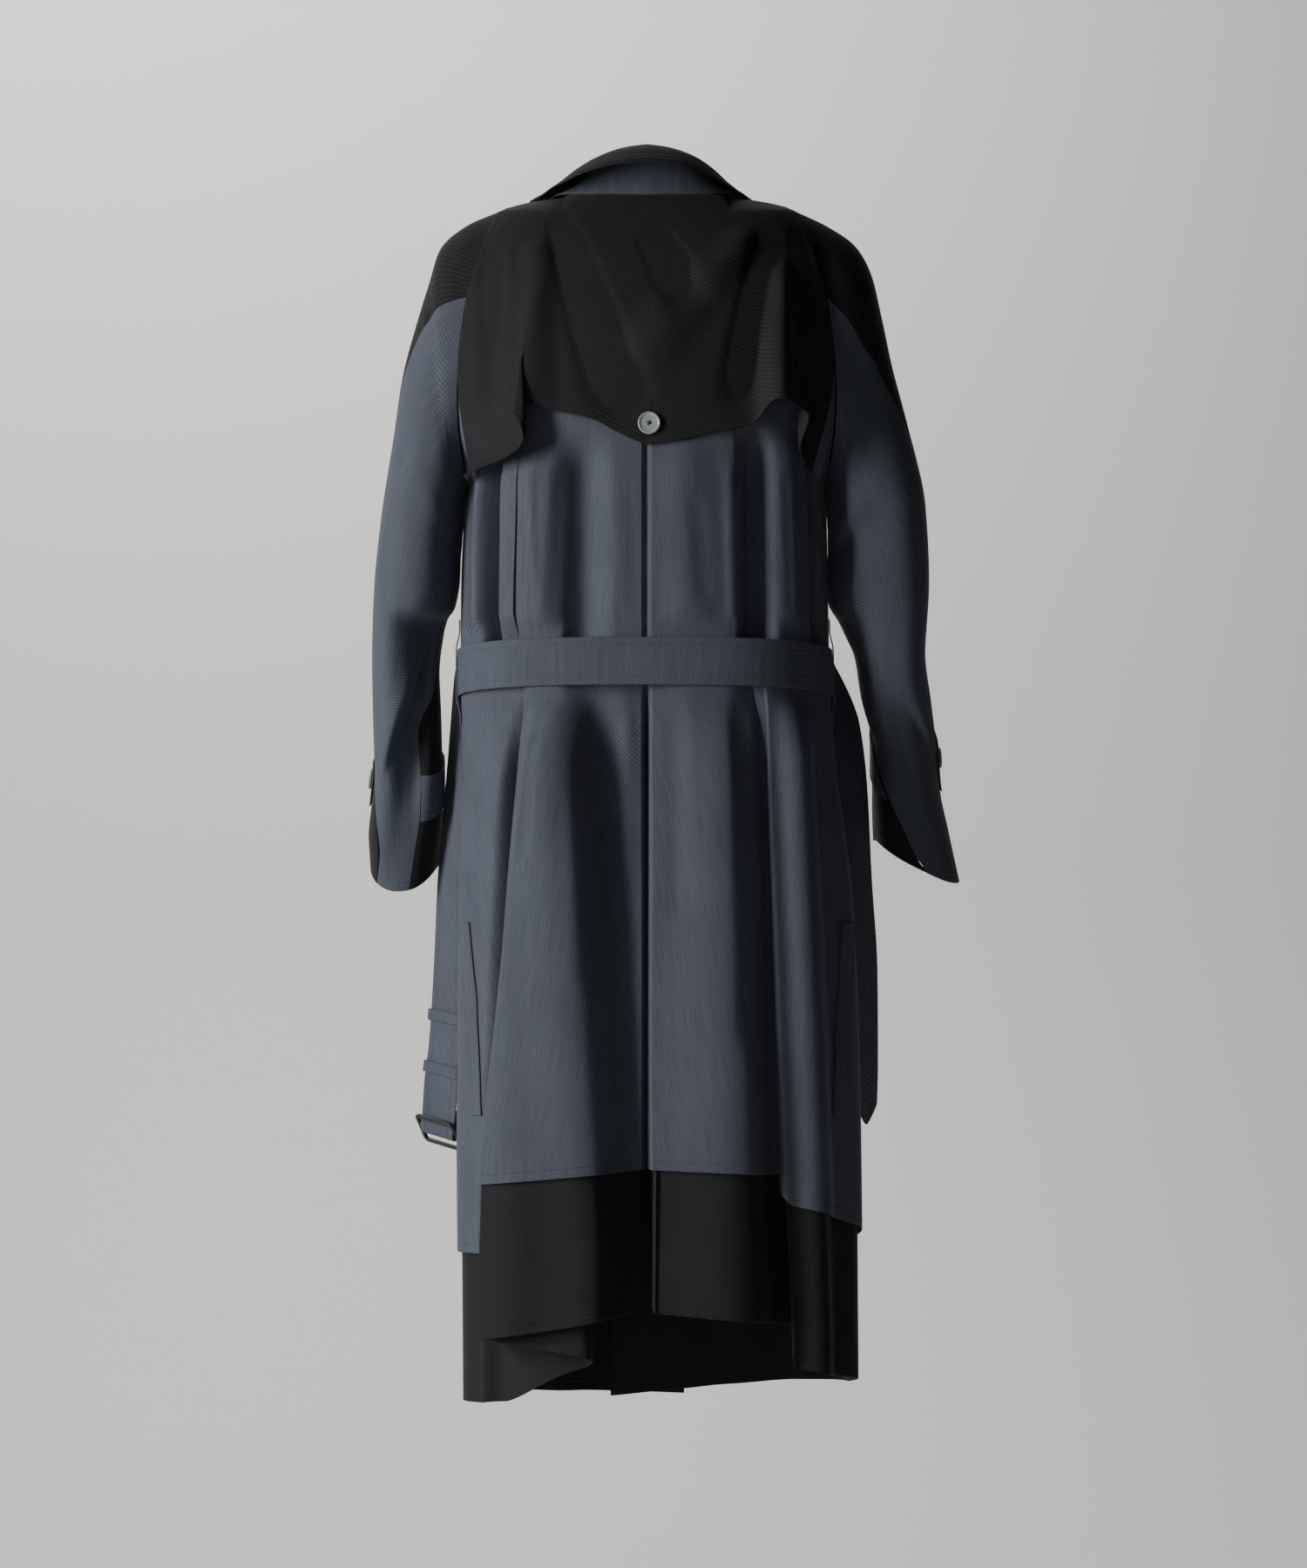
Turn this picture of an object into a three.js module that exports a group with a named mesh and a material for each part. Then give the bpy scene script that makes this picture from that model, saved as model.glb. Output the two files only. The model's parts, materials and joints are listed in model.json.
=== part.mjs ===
// A long belted coat in two cloths, worn shape kept with nobody in it: slate wool for the body, the
// under sleeves and the belt, heavy black twill for the storm flap, the upper sleeves, the collar fall
// and an under layer that shows below the slate hem. Millimetres, +Z up. The back faces +Y, the wearer's
// left is +X, and the origin is the middle of the neck, at the height of the nape.
import * as THREE from 'three';

// ---- Driving sizes -------------------------------------------------------------------------------------
const SLATE_WALL = 1.4;
const TWILL_WALL = 1.6;
const BELT_WALL = 1.9; // the belt is two layers of the slate cloth
const SEAM = 0.15; // half the gap that is left between two panels at a seam
const RESTING = 0.3; // gap under a piece that lies on a panel
const UNDERARM_Z = -290;
const BELT_TOP_Z = -464;
const BELT_BOTTOM_Z = -512;
const TWILL_TOP_Z = -880; // where the black under layer is caught inside the slate
const TWILL_INSET = 5; // how far inside the slate it hangs
const NECK = { half: 85, back: 70, front: 92, frontDrop: 70, sideRise: 12, roundness: 2.2 };
const OVERLAP = 41; // how far each front runs past the middle
// The left front lies over the right one, and lower down over both of its layers.
const LAP = { out: 1.5, under: 7, fromZ: -790, fade: 85 };

// Level 0 is the neck and shoulder line, level 1 the underarm; one more level is one metre further down.
const YOKE = [
  { level: 0.0, backY: 70, backZ: 0, frontY: 92, frontZ: -70 },
  { level: 0.15, backY: 90, backZ: -26, frontY: 102, frontZ: -86 },
  { level: 0.35, backY: 113, backZ: -72, frontY: 116, frontZ: -116 },
  { level: 0.6, backY: 131, backZ: -148, frontY: 129, frontZ: -168 },
  { level: 0.8, backY: 137, backZ: -215, frontY: 135, frontZ: -226 },
  { level: 1.0, backY: 138, backZ: -290, frontY: 138, frontZ: -290 },
];
const YOKE_TAKES_OVER = 0.15; // by this level the shoulder line has opened into front and back

// Half widths and depths of the body below the underarm.
const BODY = [
  { z: -290, left: 187.5, right: 187.5, back: 138, front: 138 },
  { z: -330, left: 193.5, right: 190, back: 137, front: 138 },
  { z: -400, left: 196.5, right: 191.5, back: 133, front: 136 },
  { z: -488, left: 197, right: 193, back: 127, front: 133 },
  { z: -580, left: 194, right: 200, back: 135, front: 140 },
  { z: -700, left: 191, right: 210, back: 147, front: 149 },
  { z: -850, left: 190, right: 218, back: 158, front: 157 },
  { z: -1010, left: 190, right: 222, back: 167, front: 162 },
  { z: -1270, left: 187, right: 224, back: 168, front: 164 },
];
const BODY_ROUNDNESS = 2.6;

// The knife pleat of each back panel: where its folded edge lies from the middle seam, how deep it goes
// under (less than nothing: not folded yet), and the room between its three layers.
const LEFT_PLEAT = [
  { z: 0, edge: 100, depth: -30, upper: 0.3, lower: 0.3 },
  { z: -200, edge: 108, depth: -26, upper: 1, lower: 1 },
  { z: -300, edge: 111, depth: -20, upper: 4, lower: 4 },
  { z: -450, edge: 121, depth: -14, upper: 5, lower: 4 },
  { z: -520, edge: 124, depth: -8, upper: 5, lower: 4 },
  { z: -600, edge: 128, depth: 6, upper: 8, lower: 5 },
  { z: -760, edge: 137, depth: 40, upper: 11, lower: 6 },
  { z: -1010, edge: 170, depth: 98, upper: 14, lower: 7 },
  { z: -1180, edge: 175, depth: 116, upper: 15, lower: 8 },
];
const RIGHT_PLEAT = [
  { z: 0, edge: 112, depth: -30, upper: 0.2, lower: 0.2 },
  { z: -470, edge: 124, depth: -26, upper: 1, lower: 1 },
  { z: -520, edge: 126, depth: -14, upper: 4, lower: 3 },
  { z: -600, edge: 130, depth: 2, upper: 7, lower: 5 },
  { z: -760, edge: 137, depth: 20, upper: 10, lower: 6 },
  { z: -1010, edge: 148, depth: 38, upper: 14, lower: 7 },
  { z: -1180, edge: 158, depth: 40, upper: 14, lower: 8 },
];

// Soft folds: each runs from one height to another at a distance from the middle seam (back) or from the
// middle front, rises above the cloth (or sinks, below nothing) and reaches so far to each side.
const SOFT_FOLDS = [
  { side: 1, facing: 1, fromZ: -250, fromAt: 172, toZ: -462, toAt: 176, reach: 15, rise: 5 },
  { side: 1, facing: 1, fromZ: -250, fromAt: 150, toZ: -462, toAt: 154, reach: 13, rise: -5 },
  { side: 1, facing: 1, fromZ: -250, fromAt: 62, toZ: -462, toAt: 66, reach: 24, rise: -6 },
  { side: 1, facing: 1, fromZ: -520, fromAt: 46, toZ: -1080, toAt: 38, reach: 34, rise: -9 },
  { side: 1, facing: 1, fromZ: -520, fromAt: 92, toZ: -1080, toAt: 106, reach: 34, rise: 4 },
  { side: -1, facing: 1, fromZ: -250, fromAt: 99, toZ: -462, toAt: 104, reach: 20, rise: -7 },
  { side: -1, facing: 1, fromZ: -250, fromAt: 127, toZ: -462, toAt: 134, reach: 15, rise: 5 },
  { side: -1, facing: 1, fromZ: -250, fromAt: 163, toZ: -462, toAt: 172, reach: 18, rise: -8 },
  { side: -1, facing: 1, fromZ: -520, fromAt: 56, toZ: -1080, toAt: 66, reach: 36, rise: 4 },
  { side: -1, facing: 1, fromZ: -540, fromAt: 168, toZ: -1180, toAt: 206, reach: 26, rise: 7 },
  { side: 1, facing: -1, fromZ: -300, fromAt: 132, toZ: -1180, toAt: 150, reach: 40, rise: 6 },
  { side: 1, facing: -1, fromZ: -520, fromAt: 92, toZ: -1180, toAt: 98, reach: 34, rise: -6 },
  { side: -1, facing: -1, fromZ: -280, fromAt: 122, toZ: -1180, toAt: 156, reach: 38, rise: 6 },
  { side: -1, facing: -1, fromZ: -540, fromAt: 94, toZ: -1180, toAt: 102, reach: 36, rise: -7 },
];

// The back corners swell out below the belt, just behind the side seams.
const CORNERS = [
  { side: 1, from: -520, full: -760, beforeSeam: 52, reach: 50, rise: 11 },
  { side: -1, from: -520, full: -760, beforeSeam: 52, reach: 50, rise: 10 },
];

// Hem heights along the cloth of each panel, from the middle back (0) or the side seam (0) to its far edge.
const HEMS = {
  slateBackLeft: [[0, -1004], [0.45, -1022], [0.55, -1026], [0.7, -1062], [0.85, -1093], [1, -1096]],
  slateBackRight: [[0, -1004], [0.5, -1014], [0.62, -1022], [0.7, -1042], [0.85, -1062], [1, -1086]],
  slateFrontLeft: [[0, -1096], [0.5, -1104], [1, -1112]],
  slateFrontRight: [[0, -1086], [0.5, -1096], [1, -1104]],
  twillBackLeft: [[0, -1148], [0.45, -1180], [0.55, -1184], [0.7, -1208], [0.85, -1246], [1, -1253]],
  twillBackRight: [[0, -1148], [0.5, -1170], [0.62, -1186], [0.7, -1208], [0.85, -1222], [1, -1236]],
  twillFrontLeft: [[0, -1253], [0.5, -1262], [1, -1268]],
  twillFrontRight: [[0, -1236], [0.5, -1252], [1, -1270]],
};

// One ring of a sleeve per row: its outermost and innermost points, where its middle lies front to back,
// half its depth, how far front and back bow outward, and how far the ring tips down at the back
// (degrees). slateFrom and slateTo are the angles, from the outermost point round the back, between
// which the slate panel lies.
/** Rows of numbers under named columns. */
const table = (columns, rows) => rows.map((row) => (
  Object.fromEntries(columns.map((name, i) => [name, row[i]]))));
const SLEEVE_COLUMNS = [
  'step', 'outX', 'outZ', 'inX', 'inZ', 'midY', 'deep', 'bow', 'tip', 'slateFrom', 'slateTo',
];
const LEFT_SLEEVE = table(SLEEVE_COLUMNS, [
  [0, 149, 3, 188, -290, 0, 88, 22, 0, 78, 180],
  [1, 189, -14, 190.6, -301, 0, 86, 16, 0, 74, 180],
  [2, 217, -38, 192.6, -312, 0, 83, 9, 0, 68, 180],
  [3, 229, -73, 194.4, -324, 0, 80, 5, 0, 58, 180],
  [4, 243, -118, 195.9, -340, 1, 77, 3, 0, 42, 180],
  [5, 257, -170, 196.9, -360, 2, 74, 2, 0, 28, 181],
  [6, 268, -240, 198.2, -386, 3, 72, 1, 3, -6, 182],
  [7, 281, -322, 203, -415, 2, 70, 0, 6, -25, 184],
  [8, 289, -400, 213, -448, -1, 68, 0, 10, -30, 184],
  [9, 291.5, -476, 220, -492, -8, 67, 0, 16, -28, 165],
  [10, 291.5, -535, 219.5, -540, -20, 66, 0, 22, -15, 116],
  [11, 291, -580, 219.5, -582, -33, 66, 0, 25, -2, 118],
  [12, 295, -615, 219.5, -614, -44, 67, 0, 26, 12, 116],
  [13, 300, -655, 221, -650, -58, 68, 0, 27, 34, 108],
  [14, 299, -690, 224, -684, -71, 69, 0, 27, 28, 100],
]);
const RIGHT_SLEEVE = table(SLEEVE_COLUMNS, [
  [0, 149, 4, 188, -290, 0, 88, 22, 0, 78, 180],
  [1, 190, -15, 189.8, -301, 0, 86, 16, 0, 80, 180],
  [2, 220, -36, 190.5, -312, 0, 83, 9, 0, 80, 180],
  [3, 237, -66, 191.3, -323, 0, 80, 5, 0, 76, 180],
  [4, 248, -112, 192, -338, 1, 77, 3, 0, 65, 180],
  [5, 259, -165, 192.6, -358, 2, 74, 2, 0, 53, 181],
  [6, 276, -230, 193.2, -382, 3, 72, 1, 3, 28, 184],
  [7, 294, -310, 194.6, -412, 2, 70, 0, 6, -8, 188],
  [8, 298, -388, 206, -440, -1, 68, 0, 10, -12, 192],
  [9, 294.5, -458, 221, -470, -8, 67, 0, 16, 8, 192],
  [10, 302, -508, 229, -512, -20, 66, 0, 22, 24, 186],
  [11, 309, -556, 242, -556, -33, 66, 0, 25, 26, 164],
  [12, 313, -595, 243, -590, -44, 67, 0, 26, 12, 126],
  [13, 322, -642, 243, -628, -58, 68, 0, 27, -8, 99],
  [14, 333, -697, 245, -668, -71, 69, 0, 27, -14, 88],
]);
const SLEEVE_SQUARENESS = 0.88; // below 1 the rings are a little squarer than ellipses

// Creases of the sleeves: where they lie (step, degrees round), how far they spread and how deep they sink.
const SLEEVE_CREASES = [
  { side: 1, step: 9.1, degrees: 128, steps: 0.8, spread: 42, sink: 9 },
  { side: 1, step: 12.6, degrees: 60, steps: 1.0, spread: 30, sink: 4 },
  { side: 1, step: 9.4, degrees: 255, steps: 0.9, spread: 45, sink: 8 },
  { side: -1, step: 8.7, degrees: 150, steps: 0.8, spread: 40, sink: 8 },
  { side: -1, step: 7.0, degrees: 105, steps: 0.7, spread: 34, sink: 4 },
  { side: -1, step: 9.3, degrees: 262, steps: 0.9, spread: 45, sink: 8 },
];

// Hem of the storm flap: where along its width, how far from the middle of the back (the right is less than
// nothing), how low, and how far it stands off the back.
const FLAP_HEM = [
  { along: -1.0, distance: -198, z: -291, stand: 22 },
  { along: -0.93, distance: -184, z: -284, stand: 25 },
  { along: -0.85, distance: -167, z: -262, stand: 30 },
  { along: -0.77, distance: -151, z: -242, stand: 34 },
  { along: -0.68, distance: -132, z: -233, stand: 28 },
  { along: -0.56, distance: -112, z: -252, stand: 13 },
  { along: -0.38, distance: -76, z: -262, stand: 7 },
  { along: -0.18, distance: -36, z: -269, stand: 6 },
  { along: 0.0, distance: -2, z: -273, stand: 5 },
  { along: 0.18, distance: 32, z: -258, stand: 6 },
  { along: 0.38, distance: 72, z: -242, stand: 8 },
  { along: 0.54, distance: 106, z: -237, stand: 11 },
  { along: 0.66, distance: 128, z: -252, stand: 24 },
  { along: 0.75, distance: 144, z: -277, stand: 34 },
  { along: 0.85, distance: 168, z: -288, stand: 30 },
  { along: 0.93, distance: 186, z: -292, stand: 25 },
  { along: 1.0, distance: 200, z: -293, stand: 22 },
];
const FLAP_REST = 2.9; // where it lies on the back, its outer face is this far out
const FLAP_BED = 1.3; // how far the back sinks under it

// The collar round the neck, from the middle back (0 degrees) to the middle front: how high it stands,
// how far its fall drops from there and how far it spreads.
const COLLAR = [
  { degrees: 0, stand: 50, drop: 31, spread: 40 },
  { degrees: 30, stand: 38, drop: 21, spread: 42 },
  { degrees: 45, stand: 29, drop: 18, spread: 42 },
  { degrees: 60, stand: 23, drop: 17, spread: 41 },
  { degrees: 90, stand: 18, drop: 16, spread: 39 },
  { degrees: 120, stand: 22, drop: 34, spread: 42 },
  { degrees: 150, stand: 29, drop: 66, spread: 42 },
  { degrees: 176, stand: 33, drop: 80, spread: 40 },
];
const COLLAR_END = 176;
const STAND_FOOT = { back: 0.6, front: 2.4 }; // the stand starts this far above the neck line
const COLLAR_LEAN = 3; // how far the stand leans in by its top edge

// Belt tails, from the loop at the side to their ends: the edge next to the coat and the far edge.
const LEFT_TAIL = [
  { nearX: 200.5, nearY: -8, nearZ: -516, farX: 206, farY: -40, farZ: -478 },
  { nearX: 200.5, nearY: 2, nearZ: -545, farX: 210, farY: -44, farZ: -532 },
  { nearX: 199, nearY: 5, nearZ: -604, farX: 213.5, farY: -42, farZ: -600 },
  { nearX: 199, nearY: 5, nearZ: -660, farX: 217, farY: -41, farZ: -656 },
  { nearX: 200, nearY: 4, nearZ: -714, farX: 224, farY: -39, farZ: -710 },
  { nearX: 201, nearY: 1, nearZ: -804, farX: 229, farY: -38, farZ: -799 },
  { nearX: 202, nearY: -1, nearZ: -884, farX: 234, farY: -37, farZ: -877 },
  { nearX: 202.5, nearY: -2, nearZ: -930, farX: 239, farY: -34, farZ: -921 },
];
const RIGHT_TAIL = [
  { nearX: 198, nearY: -8, nearZ: -514, farX: 204, farY: -42, farZ: -476 },
  { nearX: 201, nearY: 2, nearZ: -548, farX: 229, farY: -38, farZ: -534 },
  { nearX: 206, nearY: 2, nearZ: -604, farX: 237, farY: -37, farZ: -598 },
  { nearX: 214, nearY: -1, nearZ: -704, farX: 242.5, farY: -42, farZ: -700 },
  { nearX: 221, nearY: -5, nearZ: -804, farX: 249, farY: -46, farZ: -800 },
  { nearX: 225, nearY: -8, nearZ: -900, farX: 250, farY: -51, farZ: -900 },
  { nearX: 226, nearY: -10, nearZ: -941, farX: 249, farY: -52, farZ: -944 },
];
const TIP_DROP = 22; // the pointed end of the belt below its last full width
const KEEPERS = [{ z: -850, height: 11 }, { z: -906, height: 11 }];
const KEEPER_WALL = 1.6;
const KEEPER_ROOM = 0.3; // between a keeper and the belt inside it

const BUCKLE = { width: 58, height: 38, bar: 4.6, thick: 4.2, bevel: 1, lean: 37 };
const BUCKLE_AXIS = { nearX: 201.5, nearY: -2, nearZ: -978, farX: 241.5, farY: -36, farZ: -968 };

const BUTTON = { radius: 11.5, rim: 1.1, thick: 3.2, dish: 1.0 };
const FRONT_BUTTONS = [-96, -236, -376, -516, -656];
const FLAP_BUTTON = { across: -2.6, z: -249 };
const STRAP = { stepFrom: 10.9, stepTo: 12.2, endsAt: 362, buttonAt: 351, out: 2.6 };
const WELT = { topZ: -753, bottomZ: -951, topFromSeam: 78, bottomFromSeam: 108, width: 22 };
const LOOP = { width: 10, topZ: -432, bottomZ: -512, out: 9.4, beforeSeam: 16 };

// ---- Small mathematics ---------------------------------------------------------------------------------
const { lerp, degToRad } = THREE.MathUtils;
const clamp01 = (value) => Math.min(1, Math.max(0, value));
const ease = (value) => clamp01(value) ** 2 * (3 - 2 * clamp01(value));
const signedPower = (value, power) => Math.sign(value) * Math.abs(value) ** power;
const span = (count) => Array.from({ length: count + 1 }, (_, index) => index / count);

/** One column of a table at a place between its rows, passing smoothly through every row. */
function read(rows, key, name, at) {
  const rising = rows[0][key] < rows[rows.length - 1][key];
  const list = rising ? rows : [...rows].reverse();
  const last = list.length - 1;
  if (at <= list[0][key]) return list[0][name];
  if (at >= list[last][key]) return list[last][name];
  const slope = (k) => (list[k + 1][name] - list[k][name]) / (list[k + 1][key] - list[k][key]);
  const tangent = (k) => {
    if (k === 0) return slope(0);
    if (k === last) return slope(last - 1);
    const product = slope(k - 1) * slope(k);
    return product <= 0 ? 0 : (2 * product) / (slope(k - 1) + slope(k));
  };
  let i = 0;
  while (at > list[i + 1][key]) i += 1;
  const step = list[i + 1][key] - list[i][key];
  const t = (at - list[i][key]) / step;
  const cube = t ** 3;
  const square = t ** 2;
  const before = (2 * cube - 3 * square + 1) * list[i][name];
  const after = (3 * square - 2 * cube) * list[i + 1][name];
  const bends = (cube - 2 * square + t) * tangent(i) + (cube - square) * tangent(i + 1);
  return before + after + step * bends;
}

const readHem = (hem, cloth) => read(hem.map(([at, z]) => ({ at, z })), 'at', 'z', cloth);

/** The way a surface faces, from its two directions of travel. */
function facingOf(surface, u, v, du, dv) {
  const acrossIt = surface(u + du, v).sub(surface(u - du, v));
  const downIt = surface(u, v + dv).sub(surface(u, v - dv));
  return acrossIt.cross(downIt).normalize();
}

// ---- Cloth as a wall -----------------------------------------------------------------------------------
/** Directions in which a grid of points faces; rows run down, columns run across. */
function gridNormals(grid, closed, even) {
  const rows = grid.length;
  const columns = grid[0].length;
  /** At the edge of an evenly spaced row the bend of its first three points is followed. */
  const edgeRun = (row, c, step) => row[c + step].clone().multiplyScalar(4)
    .addScaledVector(row[c], -3).sub(row[c + 2 * step]).multiplyScalar(step);
  return grid.map((row, r) => row.map((_, c) => {
    const next = closed ? (c + 1) % columns : Math.min(c + 1, columns - 1);
    const before = closed ? (c + columns - 1) % columns : Math.max(c - 1, 0);
    const atEdge = even && !closed && (c === 0 || c === columns - 1);
    const across = atEdge ? edgeRun(row, c, c === 0 ? 1 : -1) : row[next].clone().sub(row[before]);
    const down = grid[Math.min(r + 1, rows - 1)][c].clone().sub(grid[Math.max(r - 1, 0)][c]);
    return across.cross(down).normalize();
  }));
}

/** A closed wall between a grid of points on the outer face and the same grid moved in by the wall. */
function clothWall(grid, wall, { closed = false, turned = false, even = false } = {}) {
  const rows = grid.length;
  const columns = grid[0].length;
  const inward = turned ? wall : -wall;
  const normals = gridNormals(grid, closed, even);
  const outer = grid.flat();
  const inner = outer.map((point, i) => point.clone().addScaledVector(normals.flat()[i], inward));
  const positions = [...outer, ...inner].flatMap((point) => point.toArray());
  const faces = [];
  const quad = (a, b, c, d) => faces.push(...(turned ? [a, c, b, a, d, c] : [a, b, c, a, c, d]));
  const at = (r, c, layer) => layer * rows * columns + r * columns + (c % columns);
  const strips = closed ? columns : columns - 1;
  for (let r = 0; r < rows - 1; r += 1) {
    for (let c = 0; c < strips; c += 1) {
      quad(at(r, c, 0), at(r, c + 1, 0), at(r + 1, c + 1, 0), at(r + 1, c, 0));
      quad(at(r, c, 1), at(r + 1, c, 1), at(r + 1, c + 1, 1), at(r, c + 1, 1));
    }
  }
  for (let c = 0; c < strips; c += 1) {
    quad(at(0, c, 0), at(0, c, 1), at(0, c + 1, 1), at(0, c + 1, 0));
    quad(at(rows - 1, c, 0), at(rows - 1, c + 1, 0), at(rows - 1, c + 1, 1), at(rows - 1, c, 1));
  }
  const end = columns - 1;
  for (let r = 0; r < rows - 1 && !closed; r += 1) {
    quad(at(r, 0, 0), at(r + 1, 0, 0), at(r + 1, 0, 1), at(r, 0, 1));
    quad(at(r, end, 0), at(r, end, 1), at(r + 1, end, 1), at(r + 1, end, 0));
  }
  const geometry = new THREE.BufferGeometry();
  geometry.setAttribute('position', new THREE.Float32BufferAttribute(positions, 3));
  geometry.setIndex(faces);
  geometry.computeVertexNormals();
  return geometry;
}

// ---- Sleeves -------------------------------------------------------------------------------------------
const sleeveOf = (side) => (side > 0 ? LEFT_SLEEVE : RIGHT_SLEEVE);

function creaseSink(side, step, degrees) {
  return SLEEVE_CREASES.filter((crease) => crease.side === side).reduce((sum, crease) => {
    const along = (step - crease.step) / crease.steps;
    const round = (degrees - crease.degrees) / crease.spread;
    return sum + crease.sink * Math.exp(-along * along - round * round);
  }, 0);
}

/** A point of the sleeve; 0 degrees is its outermost line, 90 its back, 180 the underarm line. */
function sleevePoint(side, step, degrees) {
  const get = (name) => read(sleeveOf(side), 'step', name, step);
  const angle = degToRad(degrees);
  const sink = creaseSink(side, step, degrees);
  const cosine = signedPower(Math.cos(angle), SLEEVE_SQUARENESS);
  const sine = signedPower(Math.sin(angle), SLEEVE_SQUARENESS);
  const outX = get('outX');
  const outZ = get('outZ');
  const inX = get('inX');
  const inZ = get('inZ');
  const shrink = 1 - sink / 40;
  const deep = get('deep') * (1 - sink / 70);
  const tip = degToRad(get('tip'));
  const x = (outX + inX) / 2 + (cosine * shrink * (outX - inX)) / 2 + get('bow') * Math.sin(angle) ** 2;
  const y = get('midY') + sine * deep * Math.cos(tip);
  const z = (outZ + inZ) / 2 + (cosine * (outZ - inZ)) / 2 - sine * deep * Math.sin(tip);
  return new THREE.Vector3(side * x, y, z);
}

/** The same point moved out from the sleeve. */
function onSleeve(side, step, degrees, out) {
  const facing = facingOf((u, v) => sleevePoint(side, v, u), degrees, step, 2, 0.05);
  return sleevePoint(side, step, degrees).addScaledVector(facing, -side * out);
}

// ---- Body surface --------------------------------------------------------------------------------------
const levelOf = (z) => 1 + (UNDERARM_Z - z) / 1000;
const heightOf = (level) => UNDERARM_Z - (level - 1) * 1000;

/** The quarter row of the body from the middle (back or front) to its side edge or armhole. */
function bodyRow(side, facing, level) {
  const above = level < 1;
  const seam = sleevePoint(side, 0, facing * 180 * Math.min(level, 1));
  const z = heightOf(level);
  const middleY = above
    ? read(YOKE, 'level', facing > 0 ? 'backY' : 'frontY', level)
    : read(BODY, 'z', facing > 0 ? 'back' : 'front', z);
  const middleZ = above ? read(YOKE, 'level', facing > 0 ? 'backZ' : 'frontZ', level) : z;
  const edgeX = above ? Math.abs(seam.x) : read(BODY, 'z', side > 0 ? 'left' : 'right', z);
  const edgeY = above ? Math.min(Math.abs(seam.y), middleY * 0.985) : 0;
  const edgeZ = above ? seam.z : z;
  const turn = Math.acos(clamp01((edgeY / middleY) ** (BODY_ROUNDNESS / 2)));
  const width = edgeX / Math.sin(turn) ** (2 / BODY_ROUNDNESS);
  return { side, facing, level, middleY, middleZ, edgeX, edgeZ, turn, width };
}

/** The neck line as far as the neck goes, then the shoulder line out to the sleeve. */
function neckAndShoulder(row, x) {
  const depth = row.facing > 0 ? NECK.back : NECK.front;
  const low = row.facing > 0 ? 0 : -NECK.frontDrop;
  const part = Math.min(1, x / NECK.half);
  const y = depth * (1 - part ** NECK.roundness) ** (1 / NECK.roundness);
  const outAlong = clamp01((x - NECK.half) / (row.edgeX - NECK.half));
  const shoulder = lerp(NECK.sideRise, row.edgeZ, outAlong ** 1.5);
  const z = x < NECK.half ? lerp(low, NECK.sideRise, part ** 2) : shoulder;
  return new THREE.Vector3(x, y, z);
}

function rowPoint(row, fraction) {
  const turn = row.turn * fraction;
  const x = row.width * Math.sin(turn) ** (2 / BODY_ROUNDNESS);
  const y = row.middleY * Math.max(0, Math.cos(turn)) ** (2 / BODY_ROUNDNESS);
  const point = new THREE.Vector3(x, y, lerp(row.middleZ, row.edgeZ, (x / row.edgeX) ** 2));
  if (row.level >= YOKE_TAKES_OVER) return point;
  const out = row.level / YOKE_TAKES_OVER;
  const start = neckAndShoulder(row, Math.min(x, row.edgeX));
  return new THREE.Vector3(x, lerp(start.y, y, out), lerp(start.z, point.z, out ** 1.6));
}

const ROW_PARTS = 48;
const rowCache = new Map();

/** A row with the running length at each of its parts, so that places on it can be given in millimetres. */
function measuredRow(side, facing, level) {
  const key = `${side} ${facing} ${level.toFixed(5)}`;
  if (!rowCache.has(key)) {
    const row = bodyRow(side, facing, level);
    const points = span(ROW_PARTS).map((fraction) => rowPoint(row, fraction));
    const lengths = [0];
    points.slice(1).forEach((point, i) => lengths.push(lengths[i] + point.distanceTo(points[i])));
    rowCache.set(key, { row, lengths, length: lengths[ROW_PARTS] });
  }
  return rowCache.get(key);
}

/** The point at a distance along a row; less than nothing runs past the middle, onto the other side. */
function alongRow(side, facing, level, distance) {
  const { row, lengths } = measuredRow(side, facing, level);
  const wanted = Math.min(Math.abs(distance), lengths[ROW_PARTS]);
  let i = 0;
  while (i < ROW_PARTS - 1 && lengths[i + 1] < wanted) i += 1;
  const part = (wanted - lengths[i]) / (lengths[i + 1] - lengths[i] || 1);
  const point = rowPoint(row, (i + part) / ROW_PARTS);
  return new THREE.Vector3(Math.sign(distance || 1) * point.x * side, facing * point.y, point.z);
}

/** The same place, moved out from the cloth. */
function offBody(side, facing, level, distance, out) {
  const step = 1.5;
  const length = measuredRow(side, facing, level).length;
  const middle = Math.min(distance, length - step);
  const surface = (u, v) => alongRow(side, facing, Math.max(0, v), u);
  const normal = facingOf(surface, middle, Math.max(level, 0.012), step, 0.01);
  return alongRow(side, facing, level, distance).addScaledVector(normal, side * facing * out);
}

/** How far the soft folds lift the cloth at a place. */
function softLift(side, facing, z, distance, length) {
  const folds = SOFT_FOLDS.filter((fold) => fold.side === side && fold.facing === facing);
  let lift = 0;
  for (const fold of folds) {
    const part = (z - fold.fromZ) / (fold.toZ - fold.fromZ);
    const strength = ease(part * 5) * (fold.toZ < -1000 ? 1 : ease((1 - part) * 5));
    const away = Math.abs(distance - lerp(fold.fromAt, fold.toAt, clamp01(part))) / fold.reach;
    if (away < 1) lift += strength * fold.rise * 0.5 * (1 + Math.cos(Math.PI * away));
  }
  for (const corner of CORNERS.filter((one) => one.side === side && facing > 0)) {
    const away = Math.abs(distance - (length - corner.beforeSeam)) / corner.reach;
    const strength = ease((corner.from - z) / (corner.from - corner.full));
    if (away < 1) lift += strength * corner.rise * 0.5 * (1 + Math.cos(Math.PI * away));
  }
  return lift;
}

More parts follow.
